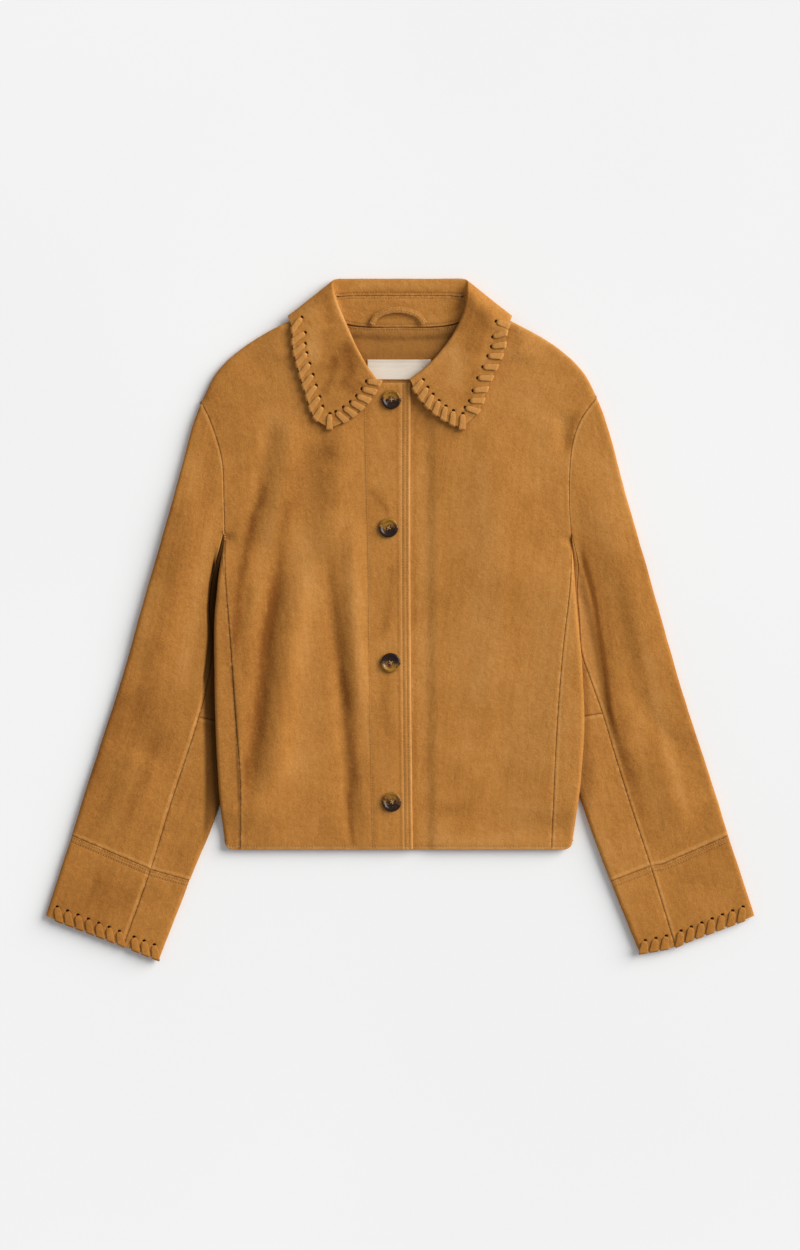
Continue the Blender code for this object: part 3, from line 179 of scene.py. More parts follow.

# ---- painted shades: how much paler or darker the leather is painted, width, run with X signed ----
# mostly painted shade in troughs, valleys and seams, and painted highlight on ridges and along the collar's fold,
# with some broad patches of the suede's own tone
BODY_SHADES = [
    (-0.30, 5.5, [(-150, 165), (-155.4, 138), (-165, 116), (-172, 82), (-178.6, 49), (-183, 9), (-187, -40)]),
    (-0.10, 13, [(-160, 140), (-167, 105), (-176, 60), (-186, 0), (-184, -90)]),
    (-0.22, 7, [(-121, 150), (-125.6, 122), (-130.5, 99), (-135.6, 62), (-140.5, 32), (-147, -4), (-152, -44)]),
    (-0.25, 8.5, [(-136, 62), (-147, -4), (-152, -44), (-155.4, -84), (-162, -133), (-171, -176), (-175, -222)]),
    (-0.10, 17, [(-128, 80), (-150, -40), (-160, -130), (-170, -215)]),
    (-0.24, 5.5, [(-78, 78), (-75.8, 49), (-71, -4), (-67.6, -44), (-61, -84), (-57.6, -117)]),
    (-0.22, 7, [(-67.6, -44), (-61, -84), (-57.6, -117), (-52.6, -166), (-55, -205)]),
    (-0.34, 3.4, [(-57, -190), (-56, -223), (-51, -259)]),
    (0.24, 1.6, [(-178.6, -212), (-178.7, -258)]),
    (-0.08, 13, [(-82, 90), (-66, -44), (-58, -120), (-52, -250)]),
    (0.12, 8, [(-138, 175), (-147, 120), (-152.5, 89), (-158.8, 36), (-166, -10)]),
    (0.12, 15, [(-112, 120), (-108, 40), (-104, -80), (-110, -216)]),
    (0.14, 9, [(-58, 80), (-50, 16), (-44, -60), (-38, -180)]),
    (-0.12, 9, [(-92, 232), (-84, 200), (-74, 178)]), (-0.13, 24, [(-88, 205), (-84, 160), (-80, 118)]),
    (0.10, 14, [(-150, 245), (-140, 205), (-128, 170)]),
    (-0.20, 5, [(-34, 150), (-23, 134), (-11, 119)]), (-0.16, 5, [(-6, 66), (-13, 12), (-20, -26)]),
    (-0.14, 5, [(-10, -60), (-18, -95), (-8, -140)]),
    (-0.24, 7, [(203, 240), (196, 214), (193, 186)]), (0.08, 16, [(150, 262), (158, 200), (150, 130)]),
    (-0.08, 14, [(42, 230), (54, 90), (48, -60), (60, -210)]), (0.07, 15, [(14, 200), (24, 60), (20, -120)]),
    (0.07, 15, [(96, 190), (104, 40), (98, -110)]), (-0.07, 12, [(136, 170), (130, 20), (120, -150)]),
    (-0.14, 10, [(16, -206), (52, -214), (96, -210)]), (0.10, 7, [(20, -246), (80, -249), (150, -246)])]
SLEEVE_SHADES = [
    (-0.16, 11, [(-298, 20), (-312, -60), (-330, -130), (-352, -205)]),
    (-0.16, 12, [(-246, 100), (-258, 30), (-284, -60), (-300, -140)]),
    (0.16, 9, [(-212, 120), (-226, 40), (-238, -30), (-252, -90)]), (0.12, 10, [(-270, 60), (-290, -20), (-306, -90)]),
    (-0.14, 9, [(-268, -120), (-290, -180), (-312, -235)]), (0.12, 9, [(-286, -140), (-310, -200), (-330, -250)]),
    (-0.17, 22, [(-352, -298), (-322, -310), (-292, -322)]), (0.10, 12, [(-232, 190), (-238, 130)]),
    (-0.12, 9, [(-210, 214), (-214, 160), (-222, 110)]),
    (-0.50, 3.2, [(205, 95), (208, 67), (217.6, 29), (225.3, -17), (231, -55), (236.7, -101), (246, -140)]),
    (-0.20, 9, [(206, 110), (214, 60), (228, 10), (236, -50), (246, -110), (262, -180), (280, -230)]),
    (-0.14, 9, [(246, -140), (267, -207), (288, -262)]),
    (0.14, 6, [(200, 70), (207, 30), (213, -20), (220, -60), (228, -96)]),
    (0.14, 8, [(263, 20), (278, -50), (296, -118), (312, -180), (326, -232)]),
    (0.08, 16, [(228, 190), (244, 120), (252, 60)]), (-0.12, 9, [(250, 60), (262, -20), (282, -100)]),
    (-0.10, 9, [(268, 110), (290, 30), (310, -50), (330, -130)]), (-0.10, 9, [(282, -120), (300, -190), (318, -240)])]
COLLAR_SHADES = [
    (-0.36, 9, [(-62, 318), (-57, 300), (-56, 282), (-66, 256)]), (-0.24, 5, [(-72, 300), (-76, 276), (-88, 250)]),
    (-0.20, 16, [(-86, 330), (-76, 304), (-72, 276)]), (-0.16, 4, [(-86, 300), (-92, 282)]),
    (0.26, 8, [(-97, 334), (-94, 314), (-91, 284)]), (0.18, 3.0, [(-104, 316), (-99, 296)]),
    (-0.22, 6, [(-84, 368), (-80, 350), (-77, 330)]), (0.14, 9, [(-96, 352), (-106, 338)]),
    (0.30, 3.6, [(-77, 372), (-68, 349), (-60, 331), (-50, 309), (-38, 288)]), (-0.18, 7, [(-42, 268), (-54, 252)]),
    (-0.22, 12, [(96, 356), (88, 322), (78, 296)]), (0.20, 11, [(58, 310), (64, 284), (58, 256)]),
    (-0.14, 6, [(84, 286), (82, 262), (72, 240)]), (0.14, 6, [(98, 300), (94, 280)]),
    (0.24, 3.6, [(76, 372), (70, 349), (60, 326), (46, 305), (30, 286)]),
    (-0.30, 13, [(73, 375), (70, 345), (60, 322)]),
    (-0.12, 4, [(-60, 368), (0, 370), (58, 368)]), (0.12, 4, [(-58, 378), (0, 379), (56, 378)])]

# ---- collar: a row for each section from the stand's seam over the fold to the outer edge ----
# neck x and y, seam x and y, fold x and y, edge x and y, bow
COLLAR_BACK = [
    (0.0, 329.8, 0.0, 365.2, 0.0, 384.8, 0.0, 319.0, 0),
    (30.0, 330.0, 31.0, 365.2, 32.0, 384.8, 33.0, 319.0, 0),
    (56.0, 332.5, 57.0, 365.0, 60.0, 384.8, 72.0, 319.0, 0),
    (72.0, 340.0, 67.5, 364.0, 71.6, 384.3, 120.5, 334.0, 0),
    (81.0, 351.0, 71.5, 364.5, 76.0, 381.8, 126.5, 342.5, 0),
]
COLLAR_LEAF = {
    "right": [
        (80.5, 351.0, 74.5, 356.0, 74.5, 371.0, 121.5, 328.0, 0),
        (77.0, 336.0, 72.0, 342.0, 68.5, 353.0, 120.5, 306.0, 0),
        (69.0, 316.0, 65.0, 321.0, 60.0, 333.0, 114.0, 280.0, 0),
        (57.0, 295.5, 54.0, 300.0, 49.5, 309.0, 105.5, 252.0, 0),
        (42.5, 280.5, 41.5, 282.0, 37.0, 286.0, 96.5, 227.5, 3),
        (28.5, 271.5, 28.0, 263.0, 22.8, 266.5, 79.5, 215.5, 8)],
    "left": [
        (80.5, 351.0, 75.0, 356.0, 75.5, 371.0, 120.0, 326.0, 0),
        (77.0, 336.0, 74.0, 340.0, 72.5, 350.0, 117.0, 305.0, 0),
        (69.0, 316.0, 65.0, 317.0, 61.0, 323.5, 108.5, 284.0, 0),
        (57.0, 295.5, 52.0, 297.5, 46.0, 303.0, 98.5, 262.0, 0),
        (42.5, 280.5, 35.0, 279.5, 28.5, 284.5, 88.5, 235.5, 4),
        (28.5, 271.5, 15.5, 266.5, 10.0, 270.5, 70.0, 215.5, 9)]}
# heights of the same rows: neck, seam, fold, turn (from the fold's middle to the leaf), leaf, edge
COLLAR_HEIGHTS = [
    (5.4, 6.2, 3.1, -3.1, 0.0, 0.0),
    (5.4, 6.2, 3.1, -3.1, 0.0, 0.0),
    (5.5, 6.2, 3.1, -3.1, 0.0, 0.0),
    (6.4, 6.4, 3.8, -3.2, 0.1, 0.1),
    (8.4, 8.2, 8.3, 0.2, 8.8, 8.8),
    (10.4, 10.2, 13.3, 3.0, 16.4, 16.4),
    (10.5, 10.3, 13.2, 2.9, 16.0, 15.2),
    (10.6, 10.3, 13.1, 2.9, 15.7, 13.8),
    (10.0, 9.7, 12.3, 2.8, 14.4, 12.9),
    (8.8, 8.7, 11.5, 2.9, 13.6, 12.8),
    (8.4, 8.6, 11.5, 2.8, 13.3, 12.8),
]
FOLD_ROOM = 3.0             # half the thickness of the collar's roll in plan
STAND_END = 9               # the section at which the stand ends
CREASE_EASE = 0.05          # how much narrower the stand is where the collar turns to the front


# ---- curves ----
def smooth(value):
    value = np.clip(value, 0.0, 1.0)
    return value * value * (3 - 2 * value)


def fade(value, start, full):
    """0 up to where it starts, and 1 from where it is full, on the way up or down."""
    return smooth((value - start) / (full - start))


def bell(distance, width):
    """1 in the middle of a fold or a groove, and nothing well outside its width."""
    return np.exp(-(distance / width) ** 2)


def dying_out(value, share, steep, left=0.0):
    """A value that falls off towards both ends of a run. left: how far along that fall it is at the very ends."""
    return value * smooth(share * steep + left) * smooth((1 - share) * steep + left)


def unit(vector):
    return vector / max(float(np.linalg.norm(vector)), 1e-9)


def units(vectors):
    return vectors / np.maximum(np.linalg.norm(vectors, axis=-1, keepdims=True), 1e-9)


def towards(vector, way):
    """A vector or its opposite, whichever points the same way as another."""
    return vector if vector @ way > 0 else -vector


def mix(a, b, share):
    return np.asarray(a, float) + (np.asarray(b, float) - np.asarray(a, float)) * share


def spaced(count, start=0.0, end=1.0):
    return np.linspace(start, end, count + 1)


class Line:
    """A smooth curve through a few points, read by the share of its length, or by its points' own numbers."""

    STEPS = 10

    def __init__(self, points):
        self.points = np.array(points, float)
        last = len(self.points) - 1
        self.dense = np.array([self.by_index(n) for n in spaced(last * self.STEPS, 0, last)])
        self.reach = lengths(self.dense)
        self.length = self.reach[-1]

    def by_index(self, number):
        last = len(self.points) - 1
        i = min(max(int(number), 0), last - 1)
        t = number - i
        p1, p2 = self.points[i], self.points[i + 1]
        p0 = self.points[i - 1] if i else 2 * p1 - p2
        p3 = self.points[i + 2] if i + 2 <= last else 2 * p2 - p1
        near, span, far = (max(np.linalg.norm(a - b), 1e-6) for a, b in ((p0, p1), (p1, p2), (p2, p3)))
        start = ((p1 - p0) / near + (p2 - p1) / span) / 2 * span
        end = ((p2 - p1) / span + (p3 - p2) / far) / 2 * span
        h = t * t * (3 - 2 * t)
        return p1 * (1 - h) + p2 * h + start * t * (1 - t) ** 2 - end * t * t * (1 - t)

    def at(self, shares):
        want = np.clip(shares, 0, 1) * self.length
        return np.stack([np.interp(want, self.reach, column) for column in self.dense.T], axis=-1)

    def x_at(self, y):
        """X where the line passes Y, for a line that runs along Y."""
        order = np.argsort(self.dense[:, 1])
        return np.interp(y, self.dense[order, 1], self.dense[order, 0])

    def distance(self, x, y):
        """Distance in plan, and the share of the length at the nearest place."""
        x, y = np.asarray(x, float), np.asarray(y, float)
        best, share = np.full(x.shape, 1e9), np.zeros(x.shape)
        for k, (p, q) in enumerate(zip(self.dense, self.dense[1:])):
            dx, dy = q[0] - p[0], q[1] - p[1]
            t = np.clip(((x - p[0]) * dx + (y - p[1]) * dy) / max(dx * dx + dy * dy, 1e-9), 0, 1)
            gap = np.hypot(x - p[0] - dx * t, y - p[1] - dy * t)
            nearer = gap < best
            best = np.where(nearer, gap, best)
            share = np.where(nearer, (self.reach[k] + t * (self.reach[k + 1] - self.reach[k])) / self.length, share)
        return best, share


def lengths(points):
    """How far along a run of points each one is."""
    steps = np.linalg.norm(np.diff(np.asarray(points, float), axis=0), axis=1)
    return np.concatenate([[0.0], np.cumsum(steps)])


def resampled(points, places):
    """The points at given distances along a run of straight steps."""
    points = np.asarray(points, float)
    reach = lengths(points)
    return np.stack([np.interp(places, reach, column) for column in points.T], axis=-1)


def stations(total, start, end, count):
    """Distances along a run: fixed ones near its start and its end, and even steps between."""
    start, end = np.asarray(start, float), total - np.asarray(end, float)[::-1]
    return np.concatenate([start, spaced(count, start[-1], end[0])[1:-1], end])


def sampled(start, end, count):
    """The same for a run whose length comes later."""
    return lambda total: stations(total, start, end, count)


LINES = {name: {side: Line(table[side]) for side in SIDES} for name, table in {
    "shoulder": SHOULDER, "armhole": ARMHOLE, "body_edge": BODY_EDGE, "front_seam": FRONT_SEAM,
    "back_seam": BACK_SEAM}.items()}
NECK_FRONT, NECK_BACK = Line(NECKLINE_FRONT), Line(NECKLINE_BACK)
RIGHT_EDGE, PLACKET = Line(RIGHT_FRONT_EDGE), Line(PLACKET_STITCH)
SLEEVE_EDGE = {side: Line([SHOULDER[side][-1]] + SLEEVE_OUTER) for side in SIDES}


def with_lines(table):
    """A table's rows with their runs as lines."""
    return [(strength, width, Line(run)) for strength, width, run in table]


FOLDS = {"body": with_lines(BODY_FOLDS), "sleeve": with_lines(SLEEVE_FOLDS)}
OPEN_SEAMS = {"right": with_lines(OPEN_SEAM), "left": []}
SHADES = {"body": with_lines(BODY_SHADES), "sleeve": with_lines(SLEEVE_SHADES), "collar": with_lines(COLLAR_SHADES)}


# ---- heights ----
def roll(distance):
    """Share of the full height that cloth has at a distance from the fold it turns down to."""
    share = np.clip(np.asarray(distance, float) / FOLD_REACH, 0.0, 1.0)
    return UPRIGHT + (1 - UPRIGHT) * np.sqrt(1 - (1 - share) ** 2)


def fold_rise(kind, x, y):
    """Ridges and troughs, which die out under the collar and on the doubled front edge."""
    total = np.zeros(np.shape(x))
    calm = fade(y, 262, 218) * fade(np.abs(x), 20, 54)
    for rise, width, line in FOLDS[kind]:
        gap, share = line.distance(x, y)
        total += dying_out(rise * bell(gap, width), share, 4, 0.25)
    return np.maximum(total * calm, DEEPEST_TROUGH)


def lift(side, x, y, layer="bottom"):
    """How far a layer of the body is raised by the sleeve's strip and by the collar's fall beneath it."""
    edge = LINES["body_edge"][side].x_at(y)
    along = fade(y, 88, 26) * fade(y, -242, -210)
    across = fade(x - edge, -40, -18) if layer == "bottom" else fade(x - edge, -100, -10)
    neck = fade(y, 286, 303) * fade(x, 168, 134)
    return SIDE_LIFT * along * across + NECK_LIFT * neck


def body_roll(side, x, y):
    edge = LINES["body_edge"][side]
    under = edge.points[0]
    gap = np.where(y < ARMHOLE[side][-1][1], edge.x_at(y) - x, np.hypot(x - under[0], y - under[1]))
    shoulder = np.where(y > 200, roll(LINES["shoulder"][side].distance(x, y)[0]), 1.0)
    return roll(gap) * shoulder


def body_top(side, x, y):
    """Outer face of the upper layer, X as the distance from the centre line."""
    full = LAID_TOP - FOLD_MIDDLE + fold_rise("body", x * SIDES[side], y)
    clear = LINES["shoulder"][side].distance(x, y)[0] - 2
    full = full - NECK_SETTLE * fade(y, 286, 304) * fade(x, 140, 120) * smooth(clear / 8)
    height = lift(side, x, y, "top") + FOLD_MIDDLE + full * body_roll(side, x, y)
    height = height + NECK_EASE * fade(y, 335, 345) * fade(x, 115, 95)
    if side == "left":
        height = height - UNDERLAP_DROP * fade(x, 42.5, 28.5)
    return height


def body_bottom(side, x, y):
    return lift(side, x, y) + FOLD_MIDDLE * (1 - body_roll(side, x, y))


def sleeve_top(side, x, y, to_step):
    """Outer face of the sleeve's upper layer. to_step: distance outward past the step line."""
    edge = LINES["body_edge"][side].x_at(y)
    beside = smooth(to_step / STEP_WIDTH[side] + 1)
    clear = fade(x - edge, 2, 16)
    low_down = fade(y, -95, -135) if side == "right" else fade(y, -120, -180)
    raised = beside * (1 - low_down) + clear * low_down
    raised = raised + (1 - raised) * fade(y, 30, 80)
    return STRIP_TOP + (LAID_TOP + fold_rise("sleeve", x * SIDES[side], y) - STRIP_TOP) * raised


# ---- cloth ----
SEAM_STEPS = (0.0, 0.3, 0.7, 1.3, 2.1, 3.2)      # distances from a seam at which the cloth is sampled
EDGE_STEPS, END_STEPS = (0, 0.5, 1.2), (0, 1)    # the same for an edge that is turned in, and for an end that is hidden
SEAM_DEPTH, SEAM_REACH = 0.9, 2.6                # how far an edge rolls down into its seam, and over what
ROW_STEPS = (-1.5, -0.8, -0.35, 0.0, 0.35, 0.8, 1.5)   # samples across a row of topstitching
CLOSEST = 0.16              # samples that are nearer than this to the one before are left out
ROW_DEPTH, ROW_WIDTH = 0.50, 0.95                # groove under a row of stitches
# the dark lines of seams and rows: pressed leather and painted shade in their grooves
PRESS_WIDTH, ROW_PRESS = 1.1, 0.6                # its dark line, and how dark that is beside a seam's
SEAM_PRESS_WIDTH = 1.3      # the dark line in a seam
HEM_SHARE = 0.45            # how much of a row's groove there is at the hem
LIT_SEAM = {"shade": 0.24, "inset": 2.9, "width": 1.3}   # the paler line on the higher side of a seam
FREE_SHARE = 0.7            # how much of a seam's roll a turned edge has
EDGE_WIDTH = 3.0            # how far in the leather is rubbed at an edge
SEAM_CALM, CORNER_CALM = 12, 4.0                 # how near a seam and a corner the surface is left even
SEAM_ROOM = 0.05            # how far a sewn side keeps from its neighbour, besides the gap in the tables
DENT = {"across": 2.2, "deep": 0.9}              # the hollow round a thong's hole
NARROWEST = 10.1            # a strip that is narrower was cut wider and folded
WALL, COLLAR_WALL, TIP_WALL = 2.0, 1.8, 1.0      # thickness of the cloth; the tip is the strip under the arm
# rows of topstitching: how far in each lies from its edge, or on the cuff from its seam
HEM_ROW, COLLAR_ROW, LOOP_ROW, FRONT_ROWS, CUFF_ROWS = 3.4, 3.0, 1.3, (4.0, 9.0), (2.6, 6.6)


def seam_dip(distance):
    share = np.clip(np.asarray(distance, float) / SEAM_REACH, 0, 1)
    return SEAM_DEPTH * (1 - np.sqrt(1 - (1 - share) ** 2))


def row_dip(distance):
    return ROW_DEPTH * bell(np.asarray(distance, float), ROW_WIDTH)


def beside(rows, *stitch_rows):
    """Sample distances for an edge with rows of topstitching at the given distances from it."""
    found = set(rows)
    for place in stitch_rows:
        found |= {round(place + step, 3) for step in ROW_STEPS if place + step > 0}
    found = sorted(found)
    return [d for k, d in enumerate(found) if k == 0 or d - found[k - 1] > CLOSEST]


def regrid(rows, down, across):
    """Resamples a grid of points. down and across: functions from a run's length to distances along it."""
    rows = [resampled(row, across(lengths(row)[-1])) for row in rows]
    columns = [resampled(column, down(lengths(column)[-1])) for column in np.swapaxes(np.array(rows), 0, 1)]
    return np.swapaxes(np.array(columns), 0, 1)


def normals_of(grid, flip):
    normal = units(np.cross(np.gradient(grid, axis=0), np.gradient(grid, axis=1)))
    return -normal if flip else normal


def edge_distances(grid):
    """For each point, its distance along the grid's lines from the four sides: first row, last row, first and last
    column."""
    down = np.swapaxes(np.array([lengths(c) for c in np.swapaxes(grid, 0, 1)]), 0, 1)
    across = np.array([lengths(r) for r in grid])
    return {"first": down, "last": down[-1:] - down, "start": across, "end": across[:, -1:] - across}


LUMPS = ((34.0, 0.42), (13.0, 0.16), (5.0, 0.05))     # size and height of the leather's own unevenness


def lumps(grid, seed):
    """Soft unevenness of leather, in millimetres."""
    found = np.zeros(grid.shape[:2])
    for size, height in LUMPS:
        places = (grid / size + seed * 7.3).reshape(-1, 3)
        found += height * np.array([noise.noise(Vector(p)) for p in places]).reshape(grid.shape[:2])
    return found


# ---- pieces ----
# Each mesh carries four shades. The first, how much paler or darker the leather is painted: mostly painted shade and
# highlight of folds, seams and edges, with some of the suede's own patches. edge: how near an edge is. The third, how
# near a seam, a row of stitches or a thong is, which the look paints darker as pressed leather and as shade in those
# grooves. shadow: how deep the place lies under its neighbour, painted as shadow.
LOOKS = {}      # the materials, by the names that the pieces use
FACES = {}      # the grid of each finished panel, which the stitching is laid on


def placed(side, grid):
    """A grid with X as the distance from the centre line, on its own side of it."""
    grid = np.array(grid, float)
    grid[..., 0] *= SIDES[side]
    return grid


def mesh_of(name, bm):
    mesh = bpy.data.meshes.new(name)
    bm.to_mesh(mesh)
    bm.free()
    return mesh


def add_grid(bm, grid):
    """Adds a grid of points in millimetres to a mesh, numbers its vertices row by row, and gives them."""
    rows, columns = grid.shape[:2]
    made = bmesh.ops.create_grid(bm, x_segments=rows - 1, y_segments=columns - 1, size=1)["verts"]
    in_rows = sorted(made, key=lambda v: (round(v.co.x, 5), round(v.co.y, 5)))
    for place, (vert, point) in enumerate(zip(in_rows, grid.reshape(-1, 3))):
        vert.index, vert.co = place, point * MM
    return made


def linked(name, data):
    made = bpy.data.objects.new(name, data)
    bpy.context.scene.collection.objects.link(made)
    return made


def cut_away(item, forms, material_mode="INDEX"):
    """An item's mesh with its modifiers applied, less the closed forms of another mesh."""
    cutter = linked("cutter", forms)
    cut = item.modifiers.new("cut", "BOOLEAN")
    cut.operation, cut.object, cut.solver, cut.material_mode = "DIFFERENCE", cutter, "MANIFOLD", material_mode
    made = bpy.data.meshes.new_from_object(item.evaluated_get(bpy.context.evaluated_depsgraph_get()))
    bpy.data.objects.remove(cutter)
    return made


def add_wall(piece, wall):
    """Gives a piece its thickness, inward from its face."""
    solid = piece.modifiers.new("wall", "SOLIDIFY")
    solid.thickness, solid.offset = wall * MM, -1
    return solid


def grid_mesh(name, grid, flip, shades=None):
    """A mesh over a grid of points in millimetres, with a cloth map in metres and its shades as attributes."""
    bm = bmesh.new()
    add_grid(bm, grid)
    bm.verts.sort()
    if flip:
        bmesh.ops.reverse_faces(bm, faces=bm.faces)
    mesh = mesh_of(name, bm)
    far = edge_distances(grid)
    cloth_map = np.stack([far["start"], far["first"]], axis=-1).reshape(-1, 2) * MM
    corners = np.zeros(len(mesh.loops), dtype=np.int32)
    mesh.loops.foreach_get("vertex_index", corners)
    layer = mesh.uv_layers.new(name="cloth")
    layer.data.foreach_set("uv", cloth_map[corners].astype(np.float32).ravel())
    for label, values in (shades or {}).items():
        mesh.attributes.new(label, "FLOAT", "POINT").data.foreach_set("value", values.astype(np.float32).ravel())
    return mesh


def add_piece(name, mesh, look, nodes=(), slot=None):
    if not mesh.materials:
        mesh.materials.append(LOOKS[look])
    mesh.shade_smooth()
    made = linked(f"{name}_{slot or 'thread'}", mesh)
    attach(made, BODY)
    if nodes:
        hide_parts(*nodes)
    return made


def inward(grid, side):
    """Moves one side of a grid in by a little along its own lines."""
    index = {"first": (0, 1), "last": (-1, -2)}.get(side)
    moved = grid.copy() if index else np.swapaxes(grid, 0, 1).copy()
    near, next_in = index or {"start": (0, 1), "end": (-1, -2)}[side]
    way = moved[next_in] - moved[near]
    span = np.maximum(np.linalg.norm(way, axis=-1, keepdims=True), 1e-6)
    moved[near] = moved[near] + way * np.minimum(SEAM_ROOM / span, 0.5)
    return moved if index else np.swapaxes(moved, 0, 1)


def panel(name, grid, flip, seed, seams=(), rows=(), nap_and_painted_shade=0.0, wall=WALL, look="suede", slot="suede", dents=(),
          lines=(), rise=0.0, free=(), lit=(), shadow=0.0):
    """A piece of cloth: a grid of points on its outer face, with its edges turned into their seams, a groove under
    each row of stitches, the leather's own unevenness and a wall on the inner side.
    seams: the sides that are sewn to a neighbour. rows: side and distance from it, for each row of stitches.
    lines: rows of stitches that run elsewhere, in plan. dents: places where a thong goes through.
    rise: extra height. free: sides whose edge is turned in and rounded. lit: seams whose own side is the higher one.
    nap and shadow: shades that are painted into the look, the first shade and highlight of folds and seams with some of
    the suede's own patches, the second shadow under a neighbour."""
    far = edge_distances(grid)
    dip = np.zeros(grid.shape[:2]) - rise
    # painted shade: seams, rows of stitches and thong holes are marked here to be painted darker, as pressed leather
    # and as shade in their grooves
    press_and_painted_shade = np.zeros(grid.shape[:2])
    nap_and_painted_shade = nap_and_painted_shade + np.zeros(grid.shape[:2])
    for x, y, _ in dents:
        near = bell(np.hypot(grid[..., 0] - x, grid[..., 1] - y), DENT["across"])
        dip = dip + DENT["deep"] * near
        press_and_painted_shade = np.maximum(press_and_painted_shade, near)
    for line in lines:
        gap = line.distance(grid[..., 0], grid[..., 1])[0]
        dip = dip + row_dip(gap)
        press_and_painted_shade = np.maximum(press_and_painted_shade, ROW_PRESS * bell(gap, PRESS_WIDTH))
    for side in seams:
        dip = np.maximum(dip, seam_dip(far[side]))
        press_and_painted_shade = np.maximum(press_and_painted_shade, bell(far[side], SEAM_PRESS_WIDTH))
    for side in lit:
        nap_and_painted_shade = nap_and_painted_shade + LIT_SEAM["shade"] * bell(far[side] - LIT_SEAM["inset"], LIT_SEAM["width"])
    for side in free:
        dip = dip + FREE_SHARE * seam_dip(far[side])
    for side, place in rows:
        share = HEM_SHARE if side == "first" and "cuff" not in name else 1.0
        dip = dip + share * row_dip(far[side] - place)
        press_and_painted_shade = np.maximum(press_and_painted_shade, share * ROW_PRESS * bell(far[side] - place, PRESS_WIDTH))
    edge = bell(np.minimum.reduce([far[side] for side in far]), EDGE_WIDTH)
    loose = np.ones(grid.shape[:2])
    for side in seams:
        loose = np.minimum(loose, smooth(far[side] / SEAM_CALM))
    moved = lumps(grid, seed) * loose - dip
    for side, other in ((a, b) for a in ("first", "last") for b in ("start", "end")):
        moved = moved * smooth(np.hypot(far[side], far[other]) / CORNER_CALM)
    made = grid + normals_of(grid, flip) * moved[..., None]
    made[..., 2] = np.maximum(made[..., 2], 0.0)
    for side in seams:
        made = inward(made, side)
    shades = {"nap_and_painted_shade": nap_and_painted_shade, "edge": edge, "press_and_painted_shade": press_and_painted_shade, "shadow": shadow + np.zeros(grid.shape[:2])}
    piece = add_piece(name, grid_mesh(name, made, flip, shades), look, [name], slot)
    solid = add_wall(piece, wall)
    # the inner faces take the darker copy of the suede, painted shade
    if look == "suede":
        piece.data.materials.append(LOOKS["suede_inside"])
        solid.material_offset = 1
    FACES[name] = made
    declare(made)
    return piece


def area_of(grid):
    """Flat area of a grid in square metres."""
    a, b, c, d = grid[:-1, :-1], grid[:-1, 1:], grid[1:, 1:], grid[1:, :-1]
    halves = np.linalg.norm(np.cross(b - a, c - a), axis=-1) + np.linalg.norm(np.cross(c - a, d - a), axis=-1)
    return float(halves.sum()) / 2 * MM * MM


def declare(grid):
    """Works out the rectangle that the piece was cut from and its own flat area; nothing uses them."""
    far = edge_distances(grid)
    width, length = max(float(far["end"][:, 0].max()), NARROWEST) * MM, float(far["last"][0].max()) * MM
    min(max(area_of(grid), 0.31 * width * length), width * length)


# ---- body ----
def armhole_share(side, where):
    """Share of the armhole's length at which the front seam or the back seam starts."""
    length = LINES["armhole"][side].length
    tip = ARMHOLE_TIP / length
    return 1 - tip if where == "front_seam" else tip + (1 - 2 * ARMHOLE_TIP / length) * 8 / 9


def armhole_height(side, face, share, x, y):
    length = LINES["armhole"][side].length
    turned = roll(share * length) * roll((1 - share) * length)
    if face == "bottom":
        return FOLD_MIDDLE * (1 - turned)
    flat = LAID_TOP + dying_out(fold_rise("body", x * SIDES[side], y), share, 8)
    return FOLD_MIDDLE + (flat - FOLD_MIDDLE) * turned


def armhole_run(side, seam):
    """Plan points of the armhole from a side seam up to the shoulder, closer together near its ends."""
    length, start = LINES["armhole"][side].length, armhole_share(side, seam)
    near = [share for step in FOLD_STEPS for share in (step / length, 1 - step / length) if 0 < share < start]
    return LINES["armhole"][side].at(np.array(sorted({*spaced(90, start, 0), *near}, reverse=True)))


def seam_run(side, which):
    """Plan points of a side seam from the hem up to its armhole point."""
    start = LINES["armhole"][side].at(armhole_share(side, which))
    line = Line([start] + list(LINES[which][side].points[1:]))
    return line.at(spaced(120, 1, 0))


def blended(side, face, grid):
    """Body heights for plan points, which meet the sleeve's along the armhole."""
    x, y = np.abs(grid[..., 0]), grid[..., 1]
    body = body_top(side, x, y) if face == "top" else body_bottom(side, x, y)
    gap, share = LINES["armhole"][side].distance(x, y)
    near = 1 - smooth(gap / ARMHOLE_BLEND)
    return body + (armhole_height(side, face, share, x, y) - body) * near


def share_run(points):
    reach = lengths(np.asarray(points)[:, :2])
    return reach / reach[-1]


def x_share(run):
    """How far across each point of a run lies, from 0 at its first point to 1 at its last."""
    return (run[:, 0] - run[0, 0]) / (run[-1, 0] - run[0, 0])


def coons(left, right, bottom, top):
    """Plan points of a patch: its left and right sides run up, its bottom and top run across."""
    v = share_run(left)[:, None, None]
    u = x_share(top)[None, :, None]
    across = bottom[None] * (1 - v) + top[None] * v
    along = left[:, None] * (1 - u) + right[:, None] * u
    corners = ((bottom[0] * (1 - u) + bottom[-1] * u) * (1 - v) + (top[0] * (1 - u) + top[-1] * u) * v)
    return across + along - corners


def painted_shading(kind, grid):
    """Painted shade and highlight: how much paler or darker than its own colour the leather is painted, place by place.
    """
    total = np.zeros(grid.shape[:2])
    for shade, width, line in SHADES[kind]:
        gap, share = line.distance(grid[..., 0], grid[..., 1])
        total += dying_out(shade * bell(gap, width), share, 5, 0.12)
    return total


